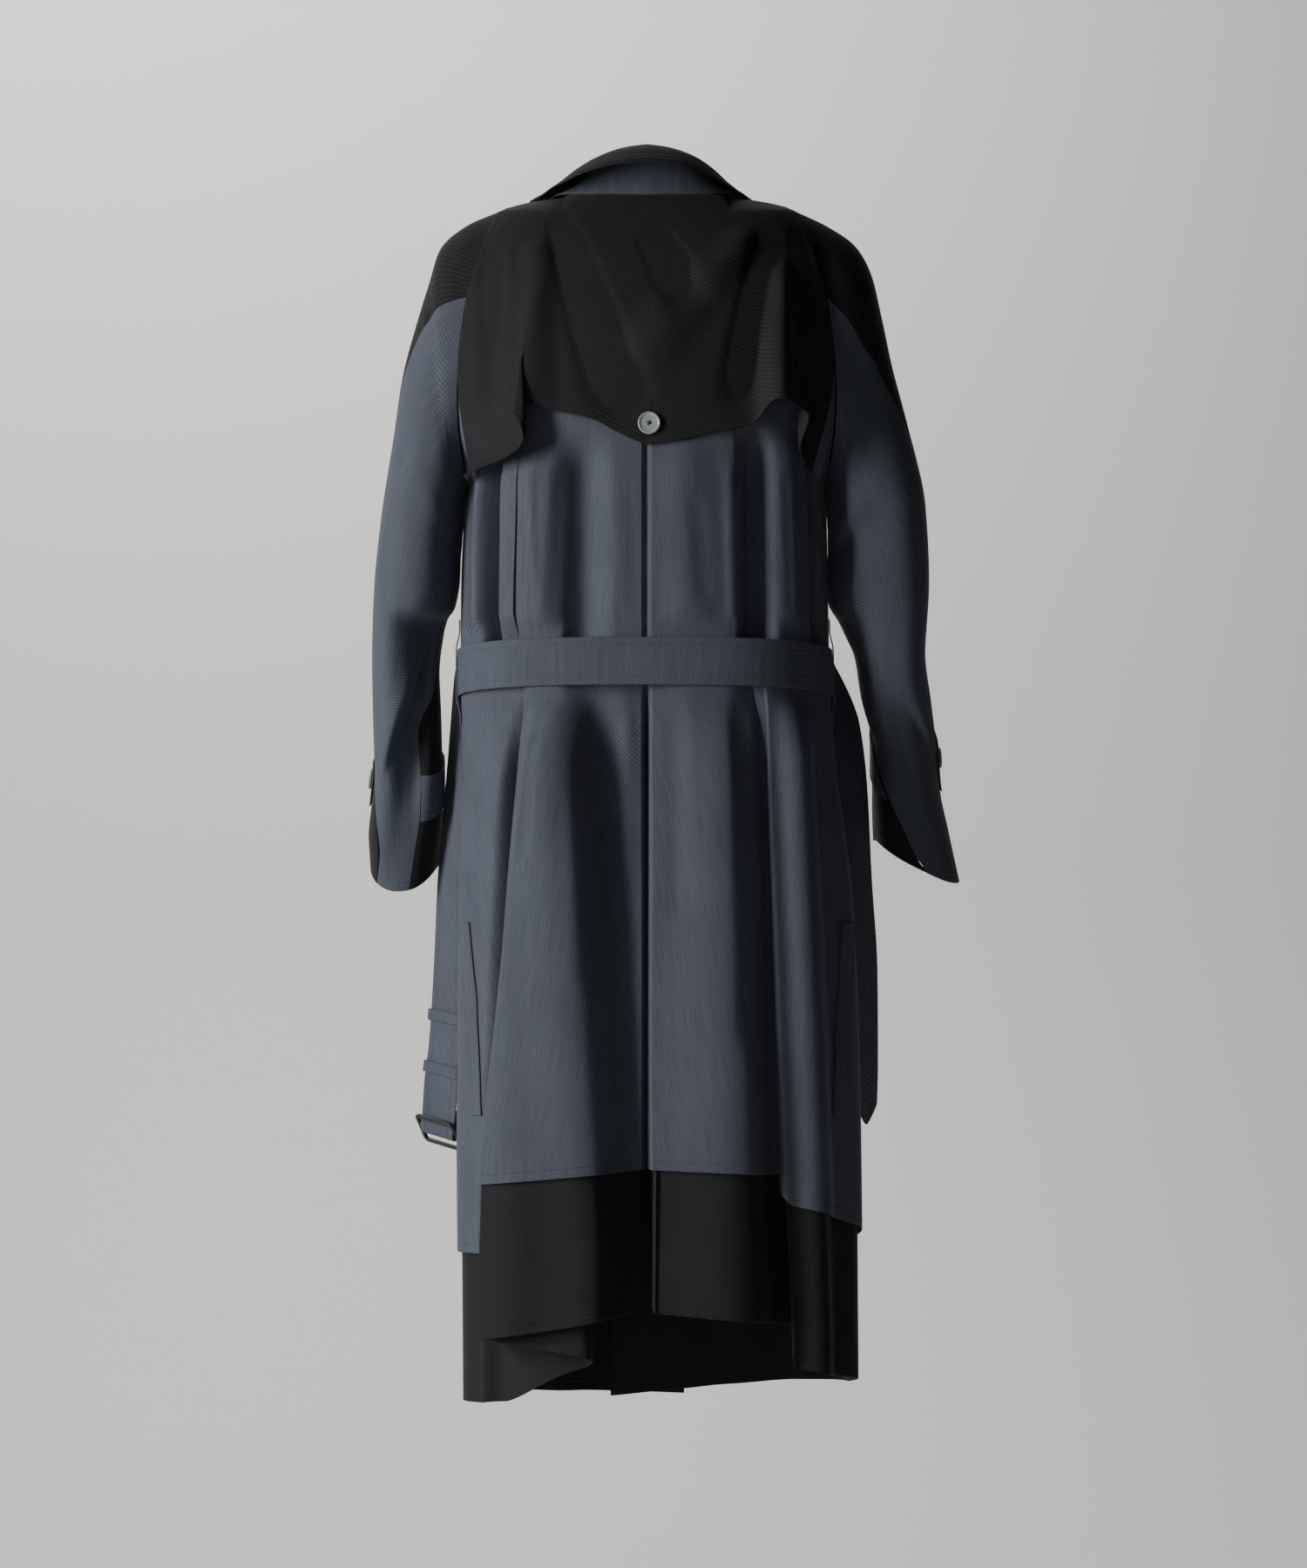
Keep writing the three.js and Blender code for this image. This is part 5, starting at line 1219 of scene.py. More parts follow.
# %% The collar
COLLAR = table("degrees stand drop spread", [
    (0, 54, 29, 40),
    (12, 51, 28, 40),
    (30, 42, 27, 38),
    (45, 31, 24, 35),
    (60, 18, 15, 31),
    (75, 14, 16, 33),
    (90, 15, 15, 39),
    (120, 22, 34, 42),
    (150, 29, 66, 42),
    (176, 33, 80, 40),
])
RIGHT_SPREAD = 0.74
STAND_FLARE = dict(out=19, start=8, full=65)
COLLAR_FRONT = dict(from_degrees=150, over=60)
COLLAR_END = 176
COLLAR_LEAN = 3
STAND_TUCKED = 4
STAND_FOOT = dict(back=0.6, front=2.4)

def collar_point(degrees, out, up):
    """A point out from the neck line and up from it; 0 degrees is the middle back."""
    angle = np.radians(degrees)
    backward = np.cos(angle) > 0
    x = NECK["half"] * signed_power(np.sin(angle), 2 / NECK["roundness"])
    y = np.where(backward, NECK["back"], NECK["front"]) * signed_power(np.cos(angle), 2 / NECK["roundness"])
    z = lerp(np.where(backward, 0, -NECK["front_drop"]), NECK["side_rise"], (x / NECK["half"]) ** 2)
    outward = unit(points(x / NECK["half"] ** 2, y / NECK["back"] ** 2, 0))
    return points(x, y, z + up) + outward * np.asarray(out)[..., None]

def fades_to_front(degrees):
    """1 at the back of the neck, easing to 0 where the collar comes round to the front."""
    return ease((COLLAR_FRONT["from_degrees"] - np.abs(degrees)) / COLLAR_FRONT["over"])

def collar_stand():
    degrees = spread((-COLLAR_END, COLLAR_END, 200))[None, :]
    part = spread((0, 1, 14))[::-1, None]
    top = read(COLLAR, "degrees", "stand", np.abs(degrees))
    foot = lerp(STAND_FOOT["back"], STAND_FOOT["front"], np.abs(degrees) / 180)
    up = lerp(foot, top - STAND_TUCKED, part)
    flare = STAND_FLARE["out"] * ease((np.abs(degrees) - STAND_FLARE["start"]) / STAND_FLARE["full"])
    flare = flare * fades_to_front(degrees)
    out = flare * (1 - part) - COLLAR_LEAN * part - 0.4
    grid = collar_point(degrees * np.ones_like(up), out, up)
    piece = cloth_piece("collar_stand_cloth", grid, SLATE_WALL)
    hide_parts("collar_stand")
    return paint(piece, SLATE)

def collar_fall():
    degrees = spread((-COLLAR_END, COLLAR_END, 200))
    top = read(COLLAR, "degrees", "stand", np.abs(degrees))
    drop = read(COLLAR, "degrees", "drop", np.abs(degrees))
    wide = read(COLLAR, "degrees", "spread", np.abs(degrees))
    nearness = ease(np.abs(degrees) / COLLAR_FRONT["over"]) * fades_to_front(degrees)
    wide = np.where(degrees < 0, wide * lerp(1, RIGHT_SPREAD, nearness), wide)
    lean = -COLLAR_LEAN - 0.4
    outs = [lean - 2.2, lean - 2.4, lean - 2.4, lean - 1.2, lean + 1.6, lean + 6]
    outs += [lerp(lean, wide, 0.55), wide - 3, wide]
    ups = [2, top * 0.5, top - 6, top - 1.6, top, top - 1.2]
    ups += [top - drop * 0.36, top - drop * 0.86, top - drop]
    outs = np.array([one * np.ones_like(degrees) for one in outs])
    ups = np.array([one * np.ones_like(degrees) for one in ups])
    marks = np.arange(len(outs), dtype=float)
    fine = spread((0, len(outs) - 1, 64))
    smooth = []
    for values in (outs, ups):
        columns = [read({"at": marks, "value": column}, "at", "value", fine) for column in values.T]
        smooth.append(np.array(columns).T)
    grid = collar_point(degrees[None, :] * np.ones_like(smooth[0]), smooth[0], smooth[1])[::-1]
    piece = cloth_piece("collar_fall_cloth", grid, TWILL_WALL, edges=("top",))
    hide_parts("collar_fall")
    return paint(piece, TWILL)

collar_stand()
collar_fall()

# %% [markdown]
# ## Belt
#
# The belt is one strip of doubled slate cloth. It goes round the back under two loops and hangs at both
# sides: at the left to the buckle, where it is bent round the middle bar and laid back on itself, at the
# right to its pointed end. It is told as a run of sections, each a pair of points, one at either edge. A
# curve with a flat profile could carry the strip, but it twists where it likes; pairs of edge points say
# how the belt turns from facing back to facing sideways.

# %% The belt's tails
BELT_WALL = 1.9
LEFT_TAIL = table("near_x near_y near_z far_x far_y far_z", [
    (198.5, -8, -516, 206, -40, -478),
    (197.2, 1, -545, 211, -43, -532),
    (196, 2, -604, 216, -38, -600),
    (196, 2, -660, 221, -36, -656),
    (196.4, 2, -714, 225, -36, -710),
    (198, 0, -804, 229, -37, -799),
    (201, -1, -884, 234, -37, -877),
    (202.5, -2, -930, 239, -34, -921),
])
RIGHT_TAIL = table("near_x near_y near_z far_x far_y far_z", [
    (196, -8, -514, 204, -42, -476),
    (197.5, 2, -548, 228, -38, -534),
    (202, 2, -604, 236, -36, -598),
    (211.5, -1, -704, 241.5, -40, -700),
    (218, -5, -804, 248, -45, -800),
    (222, -8, -900, 249, -50, -900),
    (223, -10, -941, 248, -51, -944),
])

def tail_sections(tail, side):
    """Pairs of edge points down a tail: the far edge first, then the one next to the coat."""
    far = points(side * tail["far_x"], tail["far_y"], tail["far_z"])
    near = points(side * tail["near_x"], tail["near_y"], tail["near_z"])
    return np.stack([far, near], axis=1)

print("tails end at z", LEFT_TAIL["near_z"][-1], "and", RIGHT_TAIL["near_z"][-1])

# %% [markdown]
# At the left the strip turns round the buckle's middle bar and comes back up behind itself. One smooth
# curve through all sections makes the belt a single piece, as it is cut.

# %% The belt's run
BELT_HALF = 24
BELT_LIFT = 3.4
TIP = dict(drop=22, blunt=0.06, curve=0.85)
BACK_PARTS = (1, 0.93, 0.85, 0.76, 0.66, 0.54, 0.42, 0.3, 0.16)
BUCKLE = dict(width=58, height=38, bar=4.6, thick=4.2, corner=4, lean=37)
BUCKLE_NEAR = np.array([201.5, -2, -978.0])
BUCKLE_FAR = np.array([241.5, -36, -968.0])

def buckle_frame():
    """The middle of the buckle's centre bar, and the belt's width, outward and downward ways there."""
    width = unit(BUCKLE_FAR - BUCKLE_NEAR)
    out = unit(np.array([-width[1], width[0], 0]))
    down = unit(np.cross(out, width))
    down = -down if down[2] > 0 else down
    return (BUCKLE_NEAR + BUCKLE_FAR) / 2, width, out, down

def back_sections(side, parts):
    length = row_length(side, 1, level_of(BELT_TOP_Z))
    distance = (length - 3) * np.array(parts)
    edges = [off_body(side, 1, level_of(z) * np.ones_like(distance), distance, BELT_LIFT)
             for z in (BELT_TOP_Z, BELT_BOTTOM_Z)]
    return np.stack(edges, axis=1)

def turn_sections():
    """The strip bent round the middle bar and laid back behind itself."""
    middle, width, out, down = buckle_frame()
    bend = BUCKLE["thick"] / 2 + 1.2 + BELT_WALL
    angles = np.radians([0, 45, 90, 135, 180])
    path = [(bend, -16), *[(bend * np.cos(a), bend * np.sin(a)) for a in angles]]
    path += [(-bend + 1.2, -6), (-0.2, -20), (0.1, -28)]
    centre = [middle + out * o + down * d for o, d in path]
    return np.array([[one + width * BELT_HALF, one - width * BELT_HALF] for one in centre])

def smooth_run(sections, spacing):
    """Sections at an even spacing along a curve through the given ones."""
    middles = sections.mean(axis=1)
    run = np.concatenate([[0], np.cumsum(np.linalg.norm(np.diff(middles, axis=0), axis=1))])
    fine = np.linspace(0, run[-1], int(run[-1] / spacing) + 1)
    flat = sections.reshape(len(sections), -1)
    smooth = [read({"at": run, "value": column}, "at", "value", fine) for column in flat.T]
    return np.array(smooth).T.reshape(len(fine), 2, 3)

def tip_sections(far, near):
    """The pointed end, narrowing below the last section of a tail."""
    last = lerp(far, near, 0.5)
    point = last - np.array([0, 0, TIP["drop"]])
    sections = []
    for share in spread((0, 1, 8))[1:]:
        squeeze = TIP["blunt"] + (1 - TIP["blunt"]) * (1 - share) ** TIP["curve"]
        middle = lerp(last, point, share)
        sections.append([middle + (far - near) / 2 * squeeze, middle - (far - near) / 2 * squeeze])
    return np.array(sections)

def belt():
    left = tail_sections(LEFT_TAIL, 1)[::-1]
    right = tail_sections(RIGHT_TAIL, -1)
    backs = [back_sections(1, BACK_PARTS), back_sections(1, [0.0]), back_sections(-1, BACK_PARTS[::-1])]
    sections = np.concatenate([turn_sections()[::-1], left, *backs, right])
    fine = np.concatenate([smooth_run(sections, 4.0), tip_sections(*right[-1])])
    part = spread((0, 1, 14))[:, None, None]
    grid = lerp(fine[None, :, 0], fine[None, :, 1], part)
    piece = cloth_piece("belt_cloth", grid, BELT_WALL, turned=True, edges=("top", "bottom"))
    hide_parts("belt")
    return paint(piece, SLATE)

belt()

# %% [markdown]
# Keepers are bands that hold the doubled end of the belt; loops hold the belt to the coat's side seams.
# Both are narrow strips of the slate cloth.

# %% Keepers and loops
RESTING = 0.3
KEEPERS = (-850, -906)
KEEPER = dict(height=11, wall=1.6, room=0.3)
LOOP = dict(width=10, top_z=-432, out=9.4, before_seam=16)

def keeper(number, z):
    """A ring of cloth round the left tail, at a height."""
    tail = dict(LEFT_TAIL, z=(LEFT_TAIL["near_z"] + LEFT_TAIL["far_z"]) / 2)

    def ring(level):
        near = points(*[read(tail, "z", f"near_{axis}", level) for axis in "xyz"])
        far = points(*[read(tail, "z", f"far_{axis}", level) for axis in "xyz"])
        width = unit(far - near)
        out = unit(np.array([-width[1], width[0], 0]))
        middle = (near + far) / 2 - out * BELT_WALL / 2
        half = np.linalg.norm(far - near) / 2 + KEEPER["wall"] + 0.4
        thick = BELT_WALL / 2 + KEEPER["wall"] + KEEPER["room"]
        angles = np.radians(np.linspace(0, 360, 48, endpoint=False))
        across = signed_power(np.cos(angles), 0.16) * half
        forward = signed_power(np.sin(angles), 0.5) * thick
        return middle + across[:, None] * width + forward[:, None] * out

    levels = z + KEEPER["height"] / 2 * spread((1, -1, 4))
    grid = np.array([ring(level) for level in levels])
    name = f"belt_keeper_{number}_cloth"
    piece = cloth_piece(name, grid, KEEPER["wall"], closed=True, edges=("top", "bottom"))
    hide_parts(f"belt_keeper_{number}")
    return paint(piece, SLATE)

def belt_loop(side):
    profile = [
        (LOOP["top_z"], 1), (LOOP["top_z"] - 12, 1), (BELT_TOP_Z + 9, 0.35), (BELT_TOP_Z + 3, 0),
        (BELT_BOTTOM_Z - 3, 0), (BELT_BOTTOM_Z - 9, 0.35), (BELT_BOTTOM_Z - 20, 1), (BELT_BOTTOM_Z - 30, 1),
    ]
    heights = np.array([row[0] for row in profile], float)
    downs = np.array([row[1] for row in profile], float)
    z = spread((0, 1, 40)) * (heights[-1] - heights[0]) + heights[0]
    down = read({"z": heights, "down": downs}, "z", "down", z)
    out = lerp(BELT_LIFT + RESTING + SLATE_WALL, RESTING + SLATE_WALL, down)
    level = level_of(z)[:, None]
    edge = row_length(side, 1, level) - LOOP["before_seam"]
    distance = edge - LOOP["width"] * (1 - spread((0, 1, 5))[None, :])
    grid = off_body(side, 1, level * np.ones_like(distance), distance, out[:, None] * np.ones_like(distance))
    node = f"belt_loop_{SIDE_NAMES[side]}"
    piece = cloth_piece(f"{node}_cloth", grid, SLATE_WALL, turned=side < 0, edges=("left", "right"))
    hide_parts(node)
    return paint(piece, SLATE)

for number, z in enumerate(KEEPERS, 1):
    keeper(number, z)
for side in (1, -1):
    belt_loop(side)

# %% [markdown]
# A slanted welt pocket sits in each back corner of the skirt, just behind the side seam. The strip that
# closes its mouth lies flat on the panel and follows its folds.

# %% Pocket welts
WELT = dict(top_z=-753, bottom_z=-951, top_from_seam=78, bottom_from_seam=108, width=22, stands=0.6)

def pocket_welt(side):
    down = spread((0, 1, 60))[:, None]
    part = spread((0, 1, 8))[None, :]
    z = lerp(WELT["top_z"], WELT["bottom_z"], down) * np.ones_like(part)
    level = level_of(z)
    length = row_length(side, 1, level)
    from_seam = lerp(WELT["top_from_seam"], WELT["bottom_from_seam"], down)
    distance = length - (from_seam - WELT["width"] * part)
    edge = read(LEFT_PLEAT if side > 0 else RIGHT_PLEAT, "z", "edge", z)
    gap = read(LEFT_PLEAT, "z", "upper", z) + read(LEFT_PLEAT, "z", "lower", z)
    drop = gap * (1 - ease((distance - edge) / (length - edge))) if side > 0 else 0
    after = ease((distance - edge) / EDGE_MARGIN["after"])
    lift = soft_lift(side, 1, z, distance, length) * after - drop
    grid = off_body(side, 1, level, distance, lift + RESTING + SLATE_WALL + WELT["stands"])
    name = f"pocket_welt_{SIDE_NAMES[side]}_cloth"
    piece = cloth_piece(name, grid, SLATE_WALL, turned=side < 0, edges=("left", "right", "top", "bottom"))
    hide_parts(f"pocket_welt_{SIDE_NAMES[side]}")
    return paint(piece, SLATE)

for side in (1, -1):
    pocket_welt(side)

# %% [markdown]
# ## Buttons
#
# A four-hole button is a shallow dish with a raised rim. The real one is turned on a lathe and drilled,
# and so is this: the dish is turned from a profile, and a hole is cut for each of the four threads.

# %% One button
BUTTON = dict(radius=11.5, rim=1.9, thick=3.2, dish=1.1, hole=0.95, hole_at=1.9)
BUTTON_TURNS = 48

def turned_mesh(name, profile, turns):
    """A closed solid turned from a profile of (radius, height), starting and ending on the axis."""
    ring = [(r, h) for r, h in profile if r > 0]
    angles = np.linspace(0, math.tau, turns, endpoint=False)
    vertices = [(0, 0, profile[0][1])]
    vertices += [(r * math.cos(a), r * math.sin(a), h) for r, h in ring for a in angles]
    vertices.append((0, 0, profile[-1][1]))
    last = len(vertices) - 1
    faces = []
    for i in range(turns):
        j = (i + 1) % turns
        faces.append((0, 1 + j, 1 + i))
        for k in range(len(ring) - 1):
            a, b = 1 + k * turns, 1 + (k + 1) * turns
            faces.append((a + i, a + j, b + j, b + i))
        top = 1 + (len(ring) - 1) * turns
        faces.append((top + i, top + j, last))
    mesh = bpy.data.meshes.new(name)
    mesh.from_pydata([tuple(value * MM for value in vertex) for vertex in vertices], [], faces)
    return mesh

def button_mesh():
    radius, thick = BUTTON["radius"], BUTTON["thick"]
    floor = thick - BUTTON["dish"]
    rim = radius - BUTTON["rim"]
    profile = [
        (0, 0), (radius - 1.4, 0), (radius - 0.4, 0.5), (radius, 1.2), (radius, thick - 1.0),
        (radius - 0.4, thick - 0.3), (radius - 1.0, thick), (rim + 0.3, thick - 0.15),
        (rim - 0.5, floor + 0.25), (rim - 1.4, floor), (0, floor),
    ]
    button = bpy.data.objects.new("button", turned_mesh("button", profile, BUTTON_TURNS))
    bpy.context.scene.collection.objects.link(button)
    cutters = []
    for quarter in range(4):
        angle = math.radians(45 + 90 * quarter)
        at = (BUTTON["hole_at"] * math.cos(angle) * MM, BUTTON["hole_at"] * math.sin(angle) * MM, 0)
        hole = BUTTON["hole"] * MM
        bpy.ops.mesh.primitive_cylinder_add(vertices=16, radius=hole, depth=10 * MM, location=at)
        cutters.append(bpy.context.object)
    for cutter in cutters:
        cut = button.modifiers.new("hole", "BOOLEAN")
        cut.operation = "DIFFERENCE"
        cut.solver = "EXACT"
        cut.object = cutter
    graph = bpy.context.evaluated_depsgraph_get()
    mesh = bpy.data.meshes.new_from_object(button.evaluated_get(graph))
    for each in [*cutters, button]:
        bpy.data.objects.remove(each, do_unlink=True)
    mesh.polygons.foreach_set("use_smooth", np.ones(len(mesh.polygons), bool))
    mesh.set_sharp_from_angle(angle=math.radians(40))
    mesh.name = "four-hole button"
    return mesh

BUTTON_MESH = button_mesh()
print("button:", len(BUTTON_MESH.polygons), "faces")

# %% [markdown]
# The thread that holds a button crosses between opposite holes, twice each way. It is drawn as four thin
# round curves that rise over the button's middle and dip into the holes.

# %% The crossing thread
BUTTON_THREAD = dict(radius=0.42, apart=0.32, arch=0.55, dip=1.6)

def cross_thread_mesh():
    """Two crossing pairs of threads over the middle of a button, dipping into its holes."""
    top = BUTTON["thick"] - BUTTON["dish"]
    curve = bpy.data.curves.new("cross thread", "CURVE")
    curve.dimensions = "3D"
    curve.bevel_depth = BUTTON_THREAD["radius"] * MM
    curve.bevel_resolution = 2
    for turn in (45, 135):
        for lean in (-BUTTON_THREAD["apart"], BUTTON_THREAD["apart"]):
            angle = math.radians(turn)
            way = np.array([math.cos(angle), math.sin(angle), 0])
            side_way = np.array([-way[1], way[0], 0]) * lean
            line = curve.splines.new("POLY")
            line.points.add(6)
            for k, share in enumerate(np.linspace(-1, 1, 7)):
                dip = BUTTON_THREAD["dip"] if abs(share) == 1 else 0
                rise = top + BUTTON_THREAD["arch"] * (1 - share**4) - dip
                spot = (way * share * BUTTON["hole_at"] + side_way + np.array([0, 0, rise])) * MM
                line.points[k].co = (*spot, 1)
    holder = bpy.data.objects.new("cross thread", curve)
    bpy.context.scene.collection.objects.link(holder)
    graph = bpy.context.evaluated_depsgraph_get()
    mesh = bpy.data.meshes.new_from_object(holder.evaluated_get(graph))
    bpy.data.objects.remove(holder, do_unlink=True)
    mesh.name = "cross thread"
    return mesh

THREAD_MESH = cross_thread_mesh()
print("thread:", len(THREAD_MESH.polygons), "faces")

# %% [markdown]
# One button and one thread are made once and copied to each place, each turned a little differently. The
# flap's button rests on the highest cloth under its rim and closes a worked buttonhole.

# %% Placing the buttons
FRONT_BUTTONS = (-96, -236, -376, -516, -656)
FIRST_BUTTON_LEVEL_Z = -70
FLAP_BUTTON = dict(x=-2.6, z=-249, turn=20)
BUTTONHOLE = dict(length=11, width=1.5, lift=0.25)

def place_button(node, place, facing, turn=0.0):
    """A button with its flat back on a place, facing a given way, and its thread on top."""
    facing = Vector(unit(np.asarray(facing, float)))
    stand = Vector((0, 0, 1)).rotation_difference(facing).to_matrix().to_4x4()
    at = Matrix.Translation(Vector(place) * MM) @ stand @ Matrix.Rotation(math.radians(turn), 4, "Z")
    button = bpy.data.objects.new(f"{node}_horn", BUTTON_MESH.copy())
    thread = bpy.data.objects.new(f"{node}_thread", THREAD_MESH.copy())
    for piece, material, slot in ((button, HORN, "pale_horn"), (thread, BLACK_THREAD, "black_twill")):
        bpy.context.scene.collection.objects.link(piece)
        piece.data.transform(at)
        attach(piece, "coat")
        paint(piece, material)
    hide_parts(node)
    return button

def flap_button():
    grid, outward = made["storm_flap_cloth"]["grid"], made["storm_flap_cloth"]["outward"]
    away = np.hypot(grid[..., 0] - FLAP_BUTTON["x"], grid[..., 2] - FLAP_BUTTON["z"])
    under = away < BUTTON["radius"]
    middle = np.array([FLAP_BUTTON["x"], grid[under][:, 1].max() + 0.3, FLAP_BUTTON["z"]])
    facing = unit(outward[under].mean(axis=0) + np.array([0, 1.5, 0]))
    place_button("flap_button", middle, facing, FLAP_BUTTON["turn"])

def flap_buttonhole():
    """A line round the slit just above the flap's button, for the stitch tree to dress."""
    grid = made["storm_flap_cloth"]["grid"]
    column = int(np.abs(grid[-1, :, 0] - FLAP_BUTTON["x"]).argmin())
    heights = grid[::-1, column, 2]
    top = FLAP_BUTTON["z"] + BUTTON["radius"] + BUTTONHOLE["length"]
    loop = []
    for z in np.linspace(top - BUTTONHOLE["length"], top, 7):
        spot = np.array([np.interp(z, heights, grid[::-1, column, axis]) for axis in range(3)])
        loop.append(spot + np.array([0, BUTTONHOLE["lift"], 0]))
    half = np.array([BUTTONHOLE["width"] / 2, 0, 0])
    return np.array([spot - half for spot in loop] + [spot + half for spot in loop[::-1]])

def front_buttons():
    for number, z in enumerate(FRONT_BUTTONS, 1):
        high = (z - FIRST_BUTTON_LEVEL_Z) / (UNDERARM_Z - FIRST_BUTTON_LEVEL_Z)
        level = high if z > UNDERARM_Z else float(level_of(z))
        face = off_body(1, -1, level, 0.0, LAP["out"] + RESTING + 0.5)
        beyond = off_body(1, -1, level, 0.0, 9.0)
        place_button(f"front_button_{number}", face, beyond - face, 15 * number)

def cuff_buttons():
    step = (STRAP["step_from"] + STRAP["step_to"]) / 2
    for side in (1, -1):
        face, facing = on_sleeve(side, step, STRAP["button_at"], STRAP["out"] + RESTING + 0.4)
        place_button(f"cuff_button_{SIDE_NAMES[side]}", face, facing, 30)

flap_button()
front_buttons()
cuff_buttons()
print("buttons: one on the flap,", len(FRONT_BUTTONS), "down the front, one on each cuff")

# %% [markdown]
# ## Buckle
#
# The buckle is a plain rectangular frame of round-cornered bar with a middle bar for the belt. One
# rounded section is carried round the frame's path and closed; the middle bar is a second sweep. A
# bevelled curve would give a round bar, and this one is flatter than it is wide. It rides on its own
# body, because it swings on the belt's turn.

# %% The buckle
def swept_bar(path, closed, half_wide, half_thick, sides=16):
    """Vertices and faces of a bar with a rounded section carried along a flat path in x and y."""
    path = np.asarray(path, float)
    count = len(path)
    before = np.roll(path, 1, axis=0) if closed else np.concatenate([path[:1], path[:-1]])
    after = np.roll(path, -1, axis=0) if closed else np.concatenate([path[1:], path[-1:]])
    way = unit(after - before)
    side_way = np.stack([way[:, 1], -way[:, 0]], axis=1)
    angles = np.linspace(0, math.tau, sides, endpoint=False)
    wide = signed_power(np.cos(angles), 0.6) * half_wide
    thick = signed_power(np.sin(angles), 0.6) * half_thick
    rings = path[:, None, :] + side_way[:, None, :] * wide[None, :, None]
    vertices = np.concatenate([rings, np.broadcast_to(thick[None, :, None], (count, sides, 1))], axis=2)
    spot = np.arange(count * sides).reshape(count, sides)
    nxt = np.roll(spot, -1, axis=0) if closed else spot[1:]
    base = spot if closed else spot[:-1]
    faces = np.stack([base, np.roll(base, -1, axis=1), np.roll(nxt, -1, axis=1), nxt], axis=-1).reshape(-1, 4)
    caps = [] if closed else [spot[0][::-1].tolist(), spot[-1].tolist()]
    return vertices.reshape(-1, 3), [*faces.tolist(), *caps]

def rounded_corner_path(half_x, half_y, corner, steps=8):
    centres = [(1, 1, 0), (-1, 1, 90), (-1, -1, 180), (1, -1, 270)]
    path = []
    for sign_x, sign_y, start in centres:
        for angle in np.radians(np.linspace(start, start + 90, steps)):
            x = sign_x * (half_x - corner) + corner * math.cos(angle)
            y = sign_y * (half_y - corner) + corner * math.sin(angle)
            path.append((x, y))
    return path

def buckle():
    half_bar = BUCKLE["bar"] / 2
    half_x = BUCKLE["width"] / 2 - half_bar
    half_y = BUCKLE["height"] / 2 - half_bar
    round_path = rounded_corner_path(half_x, half_y, BUCKLE["corner"])
    outer, outer_faces = swept_bar(round_path, True, half_bar, BUCKLE["thick"] / 2)
    bar_path = [(-half_x, 0), (0, 0), (half_x, 0)]
    middle, middle_faces = swept_bar(bar_path, False, half_bar * 0.9, BUCKLE["thick"] / 2.3)
    shift = len(outer)
    faces = outer_faces + [[corner + shift for corner in face] for face in middle_faces]
    mesh = bpy.data.meshes.new("buckle frame")
    mesh.from_pydata((np.concatenate([outer, middle]) * MM).tolist(), [], faces)
    mesh.polygons.foreach_set("use_smooth", np.ones(len(mesh.polygons), bool))
    mesh.set_sharp_from_angle(angle=SHARP_EDGE)
    centre, width, out, down = buckle_frame()
    upright = -down
    bar_run = width if np.dot(np.cross(width, upright), out) > 0 else -width
    standing = Matrix([[bar_run[k], upright[k], out[k]] for k in range(3)]).to_4x4()
    leaning = Matrix.Rotation(math.radians(BUCKLE["lean"]), 4, "X")
    mesh.transform(Matrix.Translation(Vector(centre) * MM) @ standing @ leaning)
    piece = bpy.data.objects.new("buckle_frame", mesh)
    bpy.context.scene.collection.objects.link(piece)
    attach(piece, "buckle")
    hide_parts("belt_buckle")
    return paint(piece, METAL)

buckle()
print("buckle:", BUCKLE["width"], "by", BUCKLE["height"], "mm")

# %% [markdown]
# ## Stitches
#
# Topstitching repeats thousands of times, so it is made by Geometry Nodes: a line drawn on the cloth is
# cut into equal steps, and each step gets one small stitch laid along the line. The tree has named
# inputs, so every garment seam uses the same one. Stitches could be a pattern in the material, but real
# ones stand up from the cloth and catch the light one by one.

# %% The stitch tree
STITCH_INPUTS = [
    ("Pitch", "NodeSocketFloat", 3.2 * MM),
    ("Length", "NodeSocketFloat", 2.5 * MM),
    ("Radius", "NodeSocketFloat", 0.3 * MM),
    ("Thread", "NodeSocketMaterial", None),
    ("Seed", "NodeSocketInt", 7),
]
STITCH_SIZES = (0.85, 1.1)

